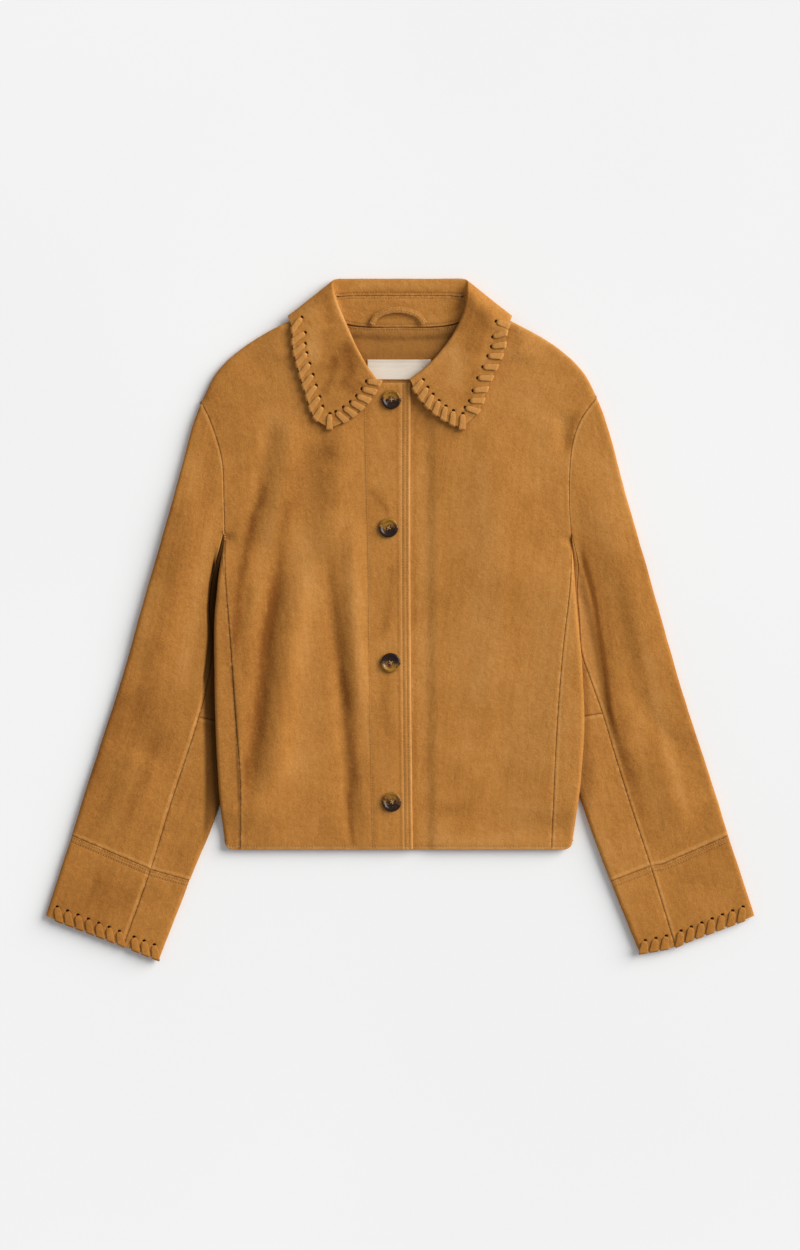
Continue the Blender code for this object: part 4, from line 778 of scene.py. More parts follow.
def front_grid(side):
    seam = seam_run(side, "front_seam")
    left = np.concatenate([seam, armhole_run(side, "front_seam")[1:]])
    shoulder = LINES["shoulder"][side].at(spaced(60, 1, 0))
    neckline = NECK_FRONT.at(spaced(40))
    top_x, hem_x = (-RIGHT_FRONT_EDGE[end][0] if side == "right" else LEFT_FRONT_EDGE_X for end in (0, -1))
    top_edge = mix(neckline[-1], (top_x, FRONT_TOP_Y), spaced(16)[:, None])
    top = np.concatenate([shoulder, neckline[1:], top_edge[1:]])
    bottom = mix(left[0], (hem_x, HEM_Y), x_share(top)[:, None])
    right = mix(bottom[-1], top[-1], share_run(left)[:, None])
    if side == "right":
        right[1:-1, 0] = -RIGHT_EDGE.x_at(right[1:-1, 1])
    return coons(left, right, bottom, top)


def with_height(plan, height):
    return np.concatenate([plan, height[..., None]], axis=-1)


def shoulder_turned(side, grid):
    """Ends a grid's last row upright where it lies on the shoulder's fold. X as the distance from the centre."""
    x, y = np.abs(grid[-1, :, 0]), grid[-1, :, 1]
    on_fold = LINES["shoulder"][side].distance(x, y)[0] < 0.6
    grid[-1, :, 2] = np.where(on_fold, FOLD_MIDDLE + lift(side, x, y), grid[-1, :, 2])
    return grid


def seam_shade(side, grid):
    """Shade in the front seam where it lies open."""
    found = np.zeros(grid.shape[:2])
    for depth, width, line in OPEN_SEAMS[side]:
        found = np.maximum(found, depth * bell(line.distance(grid[..., 0], grid[..., 1])[0], width))
    return found


def front(side):
    plan = front_grid(side)
    stitch_rows = FRONT_ROWS if side == "right" else FRONT_ROWS[:1]
    grid = regrid(with_height(plan, blended(side, "top", plan)), sampled(beside(EDGE_STEPS, HEM_ROW), FOLD_STEPS, 150),
                  sampled(SEAM_STEPS, beside(EDGE_STEPS, *stitch_rows), 74))
    grid[..., 2] = blended(side, "top", grid[..., :2])
    grid = placed(side, shoulder_turned(side, grid))
    rows = [("first", HEM_ROW)] + [("end", place) for place in stitch_rows]
    nap_and_painted_shade, rise = painted_shading("body", grid), 0.0
    if side == "right":
        inset = edge_distances(grid)["end"]
        rise = sum(high * bell(inset - place, width) for place, width, high, _ in FRONT_EDGE)
        # painted highlight and shade along the right front's edge
        nap_and_painted_shade = nap_and_painted_shade + sum(shade * bell(inset - place, width) for place, width, _, shade in FRONT_EDGE)
    else:
        nap_and_painted_shade = nap_and_painted_shade - UNDERLAP_SHADE["shade"] * bell(grid[..., 0] - UNDERLAP_SHADE["x"], UNDERLAP_SHADE["width"])
    return panel(f"front_{side}", grid, side == "right", 1 + (side == "left"), ("start",), rows, nap_and_painted_shade,
                 lines=[PLACKET] if side == "right" else [], rise=rise, free=("end",), shadow=seam_shade(side, grid))


def back_half(side):
    """The back's side from the hem to the shoulder, and its top from there to the middle of the neck."""
    edge = np.concatenate([seam_run(side, "back_seam"), armhole_run(side, "back_seam")[1:]])
    top = np.concatenate([LINES["shoulder"][side].at(spaced(50, 1, 0)), NECK_BACK.at(spaced(40))[1:]])
    return placed(side, edge), placed(side, top)


def back():
    (left, top_left), (right, top_right) = (back_half(side) for side in SIDES)
    rows = min(len(left), len(right))
    left, right = (edge_line[np.linspace(0, len(edge_line) - 1, rows).round().astype(int)]
                   for edge_line in (left, right))
    top = np.concatenate([top_left, top_right[-2::-1]])
    plan = coons(left, right, mix(left[0], right[0], x_share(top)[:, None]), top)

    def height(plan):
        return np.where(plan[..., 0] < 0, blended("right", "bottom", plan), blended("left", "bottom", plan))

    grid = regrid(with_height(plan, height(plan)), sampled((0, 1, 3), FOLD_STEPS, 100),
                  sampled(SEAM_STEPS, SEAM_STEPS, 96))
    grid[..., 2] = height(grid[..., :2])
    for side in SIDES:
        own = grid[-1, :, 0] * SIDES[side] > 0
        grid[:, own] = shoulder_turned(side, grid[:, own])
    return panel("back_panel", grid, False, 3, ("start", "end"))


def side_panel(side):
    """Wraps the body's side from the front seam round to the back seam."""
    front_seam, back_seam = seam_run(side, "front_seam"), seam_run(side, "back_seam")
    edge, under_y = LINES["body_edge"][side], ARMHOLE[side][-1][1]
    up = (front_seam[:, 1] - HEM_Y) / (front_seam[-1, 1] - HEM_Y)
    fold_y = (HEM_Y + HEM_CORNER * (1 - up)) * (1 - up) + under_y * up
    fold = np.stack([edge.x_at(fold_y), fold_y], axis=-1)
    rounded = np.clip(1 - (front_seam[:, 1] - HEM_Y) / HEM_ROUND, 0, 1) ** 2

    def run(seam, count):
        reach = np.linalg.norm(fold - seam, axis=1)
        steps = np.minimum(np.array(FOLD_STEPS)[None], reach[:, None] * 0.8)
        more = steps[:, -1:] + (reach[:, None] - steps[:, -1:]) * spaced(count)[None, 1:]
        shares = (np.concatenate([steps, more], axis=1) / reach[:, None])[..., None]
        plan = fold[:, None] * (1 - shares) + seam[:, None] * shares
        turn = np.clip((plan[..., 0] - fold[:, :1]) / HEM_CORNER + 1, 0, 1)
        bent = HEM_CORNER * (1 - np.sqrt(1 - turn ** 2)) - HEM_CORNER * (1 - shares[..., 0])
        plan[..., 1] += bent * rounded[:, None]
        return plan

    upper, lower = run(front_seam, 26), run(back_seam, 24)
    grid = np.concatenate([with_height(upper, blended(side, "top", upper))[:, ::-1],
                           with_height(lower, blended(side, "bottom", lower))], axis=1)
    grid = placed(side, regrid(grid, sampled(beside(EDGE_STEPS, HEM_ROW), SEAM_STEPS, 130),
                               sampled(SEAM_STEPS, SEAM_STEPS, 76)))
    return panel(f"side_panel_{side}", grid, side == "left", 4 + (side == "left"), ("start", "end"),
                 [("first", HEM_ROW)], painted_shading("body", grid), lit=("start",) if side == "left" else (),
                 shadow=seam_shade(side, grid))


# ---- sleeves ----
SECTIONS = {side: Line(rows) for side, rows in SLEEVE_SECTIONS.items()}
STEP_CELLS = 8              # cells from the step beside the body to the front seam


def outer_point(side, along):
    """The sleeve's outer edge, by 0 at the armhole, 1 at the elbow, 2 at the cuff seam, 3 at the hem."""
    line = SLEEVE_EDGE[side]
    knots = (0, float(line.distance(*ELBOW_OUTER)[1]), float(line.distance(*CUFF_OUTER)[1]), 1)
    return line.at(np.interp(along, (0, 1, 2, 3), knots))


def section_run(side, number, part):
    """A section across the sleeve: its share of the outer edge, its outer, step and inner points, its plan points,
    the armhole's shares that they bend to, and which of them is on the seam.
    part: top, from the outer edge to the inner fold above; bottom, the same underneath."""
    outer, step_x, step_y, seam_x, seam_y, inner_x, inner_y = SECTIONS[side].by_index(number)
    o = outer_point(side, outer)
    step, seam, inner = np.array((step_x, step_y)), np.array((seam_x, seam_y)), np.array((inner_x, inner_y))
    line = LINES["armhole"][side]
    near, far = ARMHOLE_TIP / line.length, 1 - ARMHOLE_TIP / line.length
    middle = armhole_share(side, "back_seam")

    def shares_to(total, count, end):
        """Distances that start with the fold's, and the armhole's shares from an end (0 or 1) that go with them."""
        places = stations(total, np.minimum(FOLD_STEPS, total * np.linspace(0, 0.5, len(FOLD_STEPS))), (0,), count)
        if total <= ARMHOLE_TIP:
            return places / total, mix(end, middle, places / total)
        tip, at_tip = (1 - places / line.length, far) if end else (places / line.length, near)
        beyond = (places - ARMHOLE_TIP) / max(total - ARMHOLE_TIP, 1)
        return places / total, np.where(places < ARMHOLE_TIP, tip, at_tip + beyond * (middle - at_tip))

    if part == "top":
        f, share = shares_to(np.linalg.norm(step - o), 64, 0)
        plan = mix(o, step, f[:, None])
        g = spaced(STEP_CELLS)[1:]
        plan = np.concatenate([plan, mix(step, seam, g[:, None])])
        share = np.concatenate([share, mix(middle, far, g)])
        room = np.linalg.norm(seam - inner)
        h = stations(room, (0,), np.minimum(FOLD_STEPS, room * np.linspace(0, 0.7, len(FOLD_STEPS))), 10)[1:] / room
        plan = np.concatenate([plan, mix(seam, inner, h[:, None])])
        share = np.concatenate([share, mix(far, 1, h)])
        seam_at = len(f) + STEP_CELLS - 1
    else:
        back = mix(inner, o, BACK_SEAM_SHARE)
        f, share = shares_to(np.linalg.norm(back - o), 40, 0)
        g, share_in = shares_to(np.linalg.norm(back - inner), 24, 1)
        plan = np.concatenate([mix(o, back, f[:, None]), mix(inner, back, g[::-1, None])[1:]])
        share = np.concatenate([share, share_in[::-1][1:]])
        seam_at = len(f) - 1
    return outer, o, step, inner, plan, share, seam_at


def sleeve_run(side, number, part):
    """A section's points on the outer face, bent to the armhole's curve near the armhole."""
    outer, o, step, inner, plan, share, seam_at = section_run(side, number, part)
    arm = LINES["armhole"][side].at(share)
    first = section_run(side, 0, part)[4]
    bend = max(0.0, 1 - outer) ** 2
    x, y = plan[:, 0], plan[:, 1]
    d_outer, d_inner = np.hypot(x - o[0], y - o[1]), np.hypot(x - inner[0], y - inner[1])
    turned = roll(d_outer) * roll(d_inner)
    ends = [sleeve_top(side, np.array([p[0]]), np.array([p[1]]), 0)[0] / 2 for p in (o, inner)]
    middle = mix(ends[1], ends[0], smooth((d_inner - d_outer) / 16 + 0.5))
    to_step = np.hypot(x - step[0], y - step[1])
    if part == "top":
        beyond = np.arange(len(x)) > seam_at - STEP_CELLS
        z = middle + (sleeve_top(side, x, y, np.where(beyond, -to_step, to_step)) - middle) * turned
    else:
        z = middle * (1 - turned)
    plan = plan + (arm - first) * bend
    weight = max(0.0, 1 - outer * 5) ** 2
    z = mix(z, armhole_height(side, part, share, arm[:, 0], arm[:, 1]), weight)
    return with_height(plan, z), seam_at


def sleeve_grid(side, part, first, last, steps):
    rows = []
    for number in spaced(steps, first, last):
        (top, top_seam), (low, low_seam) = (sleeve_run(side, number, face) for face in ("top", "bottom"))
        if part == "upper":
            rows.append(np.concatenate([low[low_seam:0:-1], top[:top_seam + 1]]))
        else:
            rows.append(np.concatenate([top[top_seam:], low[-2:low_seam - 1:-1]]))
    return np.array(rows)


def under_body(side, grid, beyond_step):
    """How deep each place of the sleeve's strip lies in the shadow of the body's edge."""
    x, y, z = np.abs(grid[..., 0]), grid[..., 1], grid[..., 2]
    heights, depth, reach = np.array(UNDER_BODY[side]).T
    out = x - LINES["body_edge"][side].x_at(y)
    near = smooth((np.interp(y, heights, reach) - out) / SHADE_EDGE[side] + 0.5)
    found = np.interp(y, heights, depth) * near * fade(z, 1, 3)
    if beyond_step:
        rows = np.array(SLEEVE_SECTIONS[side])[::-1]
        found = found * smooth((np.interp(y, rows[:, 2], rows[:, 1]) - x + 0.4) / 1.8) * (side == "right")
        found = found * fade(y, -104, -94) * fade(y, 88, 58)
    return found


def sleeve_piece(name, side, part, first, last, steps, size, rows=(), seams=("first", "last"), stitches=()):
    """A panel of the sleeve between two rows of the table: the upper part wraps its outer edge, the under part
    its inner fold, and they meet at the front seam above and the back seam below. size: cells down and across."""
    marks = [beside(SEAM_STEPS if end in seams else EDGE_STEPS, *[place for at, place in rows if at == end])
             for end in ("first", "last")]
    grid = placed(side, regrid(sleeve_grid(side, part, first, last, steps), sampled(*marks, size[0]),
                               sampled(SEAM_STEPS, SEAM_STEPS, size[1])))
    shadow = 0.0 if "cuff" in name else under_body(side, grid, part == "upper")
    return panel(f"{name}_{side}", grid, side == "left", 6 + len(name) + SIDES[side],
                 ("start", "end") + tuple(seams), rows, painted_shading("sleeve", grid), shadow=shadow,
                 wall=TIP_WALL if name == "under_sleeve_top" else WALL, dents=[hole for hole, *_ in stitches],
                 lit={"upper_sleeve": ("first", "end", "last"), "under_sleeve_low": ("first", "last"),
                      "cuff_upper": ("end",)}.get(name, ()))


def sleeves(side):
    elbow, cuff = ELBOW_AT[side], CUFF_AT[side]
    sleeve_piece("upper_sleeve", side, "upper", 0, cuff, 90, (150, 96))
    sleeve_piece("under_sleeve_top", side, "under", 0, elbow, 60, (70, 44))
    sleeve_piece("under_sleeve_low", side, "under", elbow, cuff, 40, (70, 60))


def cuffs(side, settings):
    at, rows, stitches = CUFF_AT[side], [("first", place) for place in CUFF_ROWS], cuff_stitches(side)
    for name, part, size in (("cuff_upper", "upper", (46, 120)), ("cuff_under", "under", (46, 70))):
        piece = sleeve_piece(name, side, part, at, at + 1, 20, size, rows, ("first",), stitches)
        punched(piece, stitches)
    lacing(f"cuff_lacing_{side}", stitches, WALL, settings, CUFF_LACING["wider"], "suede")


# ---- neck ----
LEAF_START, COLLAR_RUN = len(COLLAR_BACK), len(COLLAR_HEIGHTS) - 1     # the leaf's first section, and the last one


def collar_rows(side):
    """The collar's sections along one half, as one smooth run of numbers."""
    plan = COLLAR_BACK + COLLAR_LEAF[side]
    return Line([p + h for p, h in zip(plan, COLLAR_HEIGHTS)])


def leaf_point(rows, number, share):
    """Points of the fall's leaf, by section and by shares of the way from the fold to the edge."""
    _, _, _, _, fx, fy, ex, ey, bow, _, _, fold_z, turn, leaf_z, edge_z = rows.by_index(number)
    fold, edge, share = np.array((fx, fy)), np.array((ex, ey)), np.asarray(share, float)
    outward = unit(edge - fold)
    bend = bow * 4 * share * (1 - share)
    z = leaf_z + (edge_z - leaf_z) * smooth(share * 1.6 - 0.6)
    z = z + (fold_z + turn - leaf_z) * (1 - smooth(share * 4))
    place = mix(fold, edge, share[..., None])
    return np.stack([place[..., 0] + outward[1] * bend, place[..., 1] - outward[0] * bend, z], axis=-1)


def fall_section(rows, number):
    """Points from the stand's seam over the fold to the outer edge."""
    _, _, sx, sy, fx, fy, ex, ey, _, _, seam_z, fold_z, turn, _, _ = rows.by_index(number)
    seam, fold, edge = np.array((sx, sy)), np.array((fx, fy)), np.array((ex, ey))
    inward, outward = unit(seam - fold), unit(edge - fold)
    found = [(*seam, seam_z)]
    for way, places in ((inward, (1.0, 0.62, 0.25)), (outward, (0.0, 0.25, 0.62, 1.0))):
        for near in places:
            height = turn * np.sqrt(1 - (1 - near) ** 2)
            plan = fold + way * FOLD_ROOM * near
            found.append((*plan, fold_z + (height if way is outward else -height)))
    line = Line(np.array(found))
    leaf = leaf_point(rows, number, spaced(30, 0.16, 1))
    section = np.concatenate([line.dense, leaf])
    section[:, 2] = np.maximum(section[:, 2], 0.0)
    return section


def even_sections(rows, first, last, pitch):
    """Section numbers that lie an even distance apart along the leaf's edge."""
    dense = spaced(200, first, last)
    reach = lengths([leaf_point(rows, n, 1.0) for n in dense])
    return np.interp(spaced(max(int(reach[-1] / pitch), 8), 0, reach[-1]), reach, dense)


def collar_fall(halves, settings):
    sections = []
    for side, rows in halves.items():
        numbers = np.concatenate([spaced(34, 0, LEAF_START), even_sections(rows, LEAF_START, COLLAR_RUN, 1.5)[1:]])
        run = [placed(side, resampled(section, spaced(110, 0, lengths(section)[-1])))
               for section in (fall_section(rows, number) for number in numbers)]
        sections += run[::-1] if side == "right" else run[1:]
    grid = regrid(np.array(sections), sampled(EDGE_STEPS, EDGE_STEPS, len(sections)),
                  sampled(beside(SEAM_STEPS, COLLAR_ROW), (*EDGE_STEPS, 2.4), 88))
    stitches = {side: collar_stitches(side, rows) for side, rows in halves.items()}
    fall = panel("collar_fall", grid, False, 11, ("start",), [("start", COLLAR_ROW)], painted_shading("collar", grid),
                 wall=COLLAR_WALL, dents=[hole for side in SIDES for hole, *_ in stitches[side]])
    for side in SIDES:
        punched(fall, stitches[side])
        lacing(f"collar_lacing_{side}", stitches[side], COLLAR_WALL, settings)


def collar_stand(halves):
    rows = []
    for side, half in halves.items():
        run = spaced(60, 0, STAND_END)
        for n in run[::-1] if side == "right" else run[1:]:
            nx, ny, sx, sy, _, _, _, _, _, neck_z, seam_z = half.by_index(n)[:11]
            end = 1 - CREASE_EASE * smooth((n - 2.9) * 2) * smooth(6.5 - n)
            rows.append(placed(side, mix((nx, ny, neck_z), (sx, sy, seam_z), spaced(24)[:, None] * end)))
    sewn = beside(SEAM_STEPS, COLLAR_ROW)
    grid = regrid(np.array(rows), sampled(END_STEPS, END_STEPS, 150), sampled(sewn, sewn, 20))
    panel("collar_stand", grid, False, 12, ("start", "end"), [("start", COLLAR_ROW), ("end", COLLAR_ROW)],
          painted_shading("collar", grid))


# ---- lacing ----
THONG = {"in_hole": 0.62, "clear": 0.25, "sides": 16, "steps": 34}     # in_hole: share of its width
PUNCH = {"long": 3.3, "across": 3.8, "behind": 1.5, "through": 9}
LACED_FROM = 4.4            # the collar's section where the leaf's lacing can start
# per side, for the outer edge and the front edge: the first hole's distance along it, the step between holes, and
# how far past its hole a stitch reaches the edge
COLLAR_LACING = {"inset": 13.0, "count": (9, 6), "corner": 15.0, "start": -5.0,
                 "right": {"first": (-6.5, 15.5), "pitch": (12.95, 11.6), "ahead": (9.2, 4.6)},
                 "left": {"first": (-4.5, 17.5), "pitch": (13.5, 11.6), "ahead": (-5.6, -5.5)}}
CUFF_LACING = {"inset": 12.5, "ahead": 0.048, "wider": 1.28}


def leaf_at(rows, place, number=7.5, share=0.7):
    """The leaf's point at a place in plan, found from a nearby section and share."""
    step = 0.01
    for _ in range(20):
        here = leaf_point(rows, number, share)[:2]
        by_number = (leaf_point(rows, number + step, share)[:2] - here) / step
        by_share = (leaf_point(rows, number, share + step)[:2] - here) / step
        moved = np.linalg.solve(np.stack([by_number, by_share], axis=1), place - here)
        number = float(np.clip(number + np.clip(moved[0], -1, 1), LACED_FROM, COLLAR_RUN - 0.02))
        share = float(np.clip(share + np.clip(moved[1], -0.2, 0.2), 0.05, 0.99))
    return leaf_point(rows, number, share)


def run_at(run, distance):
    """A point on a run in plan and the run's direction there."""
    reach = lengths(run)
    distance = float(np.clip(distance, 0.002 * reach[-1], 0.998 * reach[-1]))
    here, behind, ahead = resampled(run, [distance, distance - 1, distance + 1])
    return here, unit(ahead - behind)


def collar_stitches(side, rows):
    """Hole, edge and the edge's direction for each stitch down the leaf's outer edge, one at its corner, and up its
    front edge towards the neck."""
    outer = np.array([leaf_point(rows, n, 1.0)[:2] for n in spaced(160, LACED_FROM, COLLAR_RUN)])
    before = lengths([leaf_point(rows, n, 1.0)[:2] for n in spaced(8, LACED_FROM, LEAF_START)])[-1]
    front_edge = leaf_point(rows, COLLAR_RUN, spaced(60, 1, 0))[:, :2]
    corner, middle = outer[-1], leaf_point(rows, 7.5, 0.4)[:2]
    table = COLLAR_LACING[side]
    places = []
    for run, offset, first, pitch, ahead, count in zip((outer, front_edge), (before, 0), table["first"],
                                                       table["pitch"], table["ahead"], COLLAR_LACING["count"]):
        for k in range(count):
            here, way = run_at(run, offset + first + pitch * k)
            end, along = run_at(run, offset + max(first + pitch * k + ahead, COLLAR_LACING["start"]))
            inward = towards(np.array((-way[1], way[0])), middle - here)
            places.append((here + inward * COLLAR_LACING["inset"], end, along))
        if run is outer:
            inward = unit(middle - corner)
            places.append((corner + inward * COLLAR_LACING["corner"], corner - inward * 0.3,
                           np.array((-inward[1], inward[0]))))
    found = []
    for hole, end, along in places:
        low, high = leaf_at(rows, hole), leaf_at(rows, end)
        found.append([placed(side, p) for p in (low, (*end, high[2]), (*along, 0.0))])
    return found


def thong_loop(bm, hole, edge, along, wall, width, thick, chance):
    """One whip stitch: up through its hole, over the face to the edge, round the edge and back underneath."""
    hole, edge = np.array(hole, float), np.array(edge, float)
    way = unit((edge - hole) * (1, 1, 0))
    ahead = unit(np.array(along, float) * (1, 1, 0))
    turned = towards(np.array((-way[1], way[0], 0)), ahead)
    out = towards(np.array((-ahead[1], ahead[0], 0)), way)
    lift_by = np.array((0, 0, THONG["clear"] + thick / 2))
    below = np.array((0, 0, wall + thick / 2 + 0.2))
    wide = width * (1 + chance[0] * 0.12)
    slot = width * THONG["in_hole"]
    path = [(hole - below, turned, slot), (hole - way * 0.1, turned, slot),
            (hole + way * 0.7 + lift_by * 0.9, turned, slot * 1.1),
            (hole + way * 2.2 + lift_by * 1.25, turned, wide * 0.92),
            (mix(hole, edge, 0.5) + lift_by * 1.3 + ahead * chance[1] * 0.6, unit(turned + ahead * 0.25), wide),
            (mix(hole, edge, 0.85) + lift_by * 1.1, unit(turned * 0.6 + ahead), wide * 1.12),
            (edge + out * 0.5 + lift_by * 0.85, ahead, wide * 1.22),
            (edge + out * (1.0 + thick / 2) - below * 0.42, ahead, wide * 1.2),
            (edge + out * 0.4 - below * 1.05, ahead, wide * 0.95), (edge - out * 4.0 - below * 1.0, ahead, wide * 0.9)]
    line = Line([np.concatenate([p, a, [w]]) for p, a, w in path])
    run = line.dense[np.linspace(0, len(line.dense) - 1, THONG["steps"]).round().astype(int)]
    points, across, widths = run[:, :3], run[:, 3:6], run[:, 6]
    normal, across = units(np.cross(np.gradient(points, axis=0), across)), units(across)
    turn = np.linspace(0, 2 * pi, THONG["sides"] + 1)
    flat = np.sign(np.cos(turn)) * np.abs(np.cos(turn)) ** 0.55
    crown = np.sign(np.sin(turn)) * np.abs(np.sin(turn)) ** 0.7 * (1 - 0.15 * flat ** 4)
    ring = (points[:, None] + across[:, None] * flat[None, :, None] * widths[:, None, None] / 2
            + normal[:, None] * crown[None, :, None] * thick / 2)
    tube(bm, ring)


def tube(bm, ring):
    """Adds a closed tube to a mesh: a grid of points whose last column meets its first."""
    made = add_grid(bm, ring)
    bmesh.ops.remove_doubles(bm, verts=made, dist=1e-7)
    edges = [e for v in made if v.is_valid for e in v.link_edges if e.is_boundary]
    bmesh.ops.holes_fill(bm, edges=list(set(edges)), sides=0)


def finish_mesh(name, bm, look, nodes=(), slot=None):
    bmesh.ops.recalc_face_normals(bm, faces=bm.faces)
    return add_piece(name, mesh_of(name, bm), look, nodes, slot)


def punched(piece, stitches):
    """Cuts a slot through the cloth where each stitch comes up, with a near-black cut face: painted shade in the hole.
    """
    bm = bmesh.new()
    for hole, edge, _ in stitches:
        way = Vector(((edge - hole) * (1, 1, 0)).tolist()).normalized()
        turn = Matrix.Rotation(atan2(way.y, way.x), 4, "Z")
        size = Matrix.Diagonal((PUNCH["long"] / 2, PUNCH["across"] / 2, 1, 1))
        at = Vector(hole.tolist()) - way * PUNCH["behind"]
        bmesh.ops.create_cone(bm, cap_ends=True, segments=20, radius1=MM, radius2=MM, depth=PUNCH["through"] * MM,
                              matrix=Matrix.Translation(at * MM) @ turn @ size)
    punches = mesh_of("punches", bm)
    punches.materials.append(LOOKS["painted_hole_shade"])
    made = cut_away(piece, punches, "TRANSFER")
    if len(made.polygons) < len(piece.data.polygons):
        raise RuntimeError(f"{piece.name}: the slots could not be cut")
    piece.modifiers.clear()
    piece.data, old = made, piece.data
    made.name = piece.name
    bpy.data.meshes.remove(old)


def lacing(name, stitches, wall, settings, wider=1.0, look="thong"):
    bm = bmesh.new()
    width, thick = settings.thong_width * 1000 * wider, settings.thong_thickness * 1000
    for number, (hole, edge, along) in enumerate(stitches):
        chance = [noise.noise(Vector((number * 1.7, len(name), k * 5.1))) for k in range(2)]
        thong_loop(bm, hole, edge, along, wall, width, thick, chance)
    return finish_mesh(name, bm, look, [name], "thong")


def on_run(points, share):
    """A place on a run of straight steps, by the share of its length in plan."""
    reach = lengths(points[:, :2])
    return np.array([np.interp(share * reach[-1], reach, column) for column in points.T])


def cuff_stitches(side):
    """Stitches round the upper side's hem, from the outer fold to the inner one, with a wider step at the seam."""
    last = CUFF_AT[side] + 1
    inset = np.linalg.norm(outer_point(side, 3) - outer_point(side, 2))
    hem, inner = (placed(side, sleeve_run(side, n, "top")[0]) for n in (last, last - CUFF_LACING["inset"] / inset))
    found = []
    for share in (*spaced(6, 0.074, 0.62), *spaced(2, 0.749, 0.926)):
        ahead = share + CUFF_LACING["ahead"]
        found.append((on_run(inner, share), on_run(hem, ahead), on_run(hem, ahead + 0.01) - on_run(hem, ahead - 0.01)))
    return found


# ---- inside the neck ----
FACING = {"wall": 1.0, "low_y": 235.0, "half": 76.0, "above_back": 2.3}
CREASE = {"y": 317.0, "bow": 4, "over": 70, "deep": 0.5, "width": 2.6, "shade": 0.4, "shade_width": 3.2}
LABEL = {"x": (-37.0, 35.0), "y": (270.8, 293.0), "wall": 0.6, "lifted": 2.6, "over": 17, "ripple": 0.12}
LOOP = {"run": [(-32.0, 332.5), (-26.0, 342.0), (-2.3, 349.0), (21.0, 342.5), (28.0, 333.0)], "width": 6.6,
        "wall": 1.0, "on": 9.0, "arch": 1.2, "rounded": 0.5}


def crease(grid, width):
    """1 along the facing's crease below the neck."""
    return bell(grid[..., 1] - CREASE["y"] - CREASE["bow"] * (grid[..., 0] / CREASE["over"]) ** 2, width)


def facing():
    """Lies on the back's inner face below the neckline."""
    back_grid = FACES["back_panel"]
    middle = back_grid[:, back_grid.shape[1] // 2, 1]
    rows = back_grid[(middle > FACING["low_y"]) & (np.arange(len(middle)) < len(middle) - 1)]
    places = spaced(90, -FACING["half"], FACING["half"])
    grid = np.array([[[x, np.interp(x, row[:, 0], row[:, 1]), np.interp(x, row[:, 0], row[:, 2])] for x in places]
                     for row in rows])
    grid[..., 2] += FACING["above_back"] + FACING["wall"] - CREASE["deep"] * crease(grid, CREASE["width"])
    grid = regrid(grid, sampled(EDGE_STEPS, beside(SEAM_STEPS, COLLAR_ROW), 46), sampled(END_STEPS, END_STEPS, 88))
    # painted shade in the crease, and painted shadow across the facing towards the wearer's left
    shade = -CREASE["shade"] * crease(grid, CREASE["shade_width"]) - 0.30 * fade(grid[..., 0], 22, 56)
    panel("back_facing", grid, True, 13, (), [("last", COLLAR_ROW)], shade, wall=FACING["wall"],
          look="suede_inside", slot="suede_inside")


def height_at(grid, x, y):
    """Height of a grid's nearest point in plan."""
    gap = np.hypot(grid[..., 0] - x, grid[..., 1] - y)
    return float(grid[..., 2].ravel()[gap.argmin()])


def label():
    under = FACES["back_facing"]
    x, y = spaced(72, *LABEL["x"]), spaced(26, *LABEL["y"])
    plan = np.stack(np.meshgrid(x, y), axis=-1)
    base = np.array([[height_at(under, 0.0, b) for _ in x] for b in y]) + 0.3 + LABEL["wall"]
    corner = np.hypot(plan[..., 0] - LABEL["x"][1], plan[..., 1] - LABEL["y"][1])
    ripple = LABEL["ripple"] * np.sin(plan[..., 0] / 5.5) * smooth((plan[..., 1] - LABEL["y"][0]) / 20)
    z = base + LABEL["lifted"] * smooth(1 - corner / LABEL["over"]) ** 1.5 + ripple + LABEL["ripple"]
    grid = with_height(plan, z)
    piece = add_piece("label", grid_mesh("label", grid, True), "satin", ["label"], "satin")
    add_wall(piece, LABEL["wall"])
    declare(grid)


def hanger_loop():
    line = Line(LOOP["run"])
    share = spaced(90)
    middle = line.at(share)
    way = units(np.gradient(middle, axis=0))
    across = np.stack([-way[:, 1], way[:, 0]], axis=1)
    over = spaced(12, 0.5, -0.5) * LOOP["width"]
    plan = middle[:, None] + across[:, None] * over[None, :, None]
    rounded = LOOP["rounded"] * (np.abs(over) / (LOOP["width"] / 2))[None] ** 4
    z = (LOOP["on"] + LOOP["wall"] + LOOP["arch"] * np.sin(pi * share))[:, None] - rounded
    panel("hanger_loop", with_height(plan, z), True, 14, (), [("start", LOOP_ROW), ("end", LOOP_ROW)],
          wall=LOOP["wall"])


# ---- buttons ----
BUTTON_PLACES = [(-9.8, 248.0), (-13.0, 103.4), (-10.6, -48.7), (-9.2, -205.6)]
BUTTON_TURNS = (0.9, 0.35, 2.9, 1.3)
BUTTONHOLE = {"long": 27.0, "across": 2.6, "aside": -1.2, "stitches": 73, "thick": 0.32, "stitch": 0.75, "above": 0.12}
THREAD = {"radius": 0.24, "sides": 8, "aside": 0.28}     # aside: half the space between a hole's two strands
BUTTON = {"high": 3.6, "hole": 2.0, "pitch": 3.6, "above": 0.36}
# distance from the middle and height as shares of the radius and of the full height, from the dish to the underside
BUTTON_PROFILE = [(0.0, 0.62), (0.30, 0.615), (0.50, 0.62), (0.60, 0.66), (0.68, 0.77), (0.735, 0.90), (0.79, 0.98),
                  (0.85, 1.0), (0.91, 0.965), (0.96, 0.86), (0.99, 0.72), (1.0, 0.58), (0.985, 0.42), (0.93, 0.22),
                  (0.86, 0.06), (0.80, 0.0), (0.0, 0.0)]


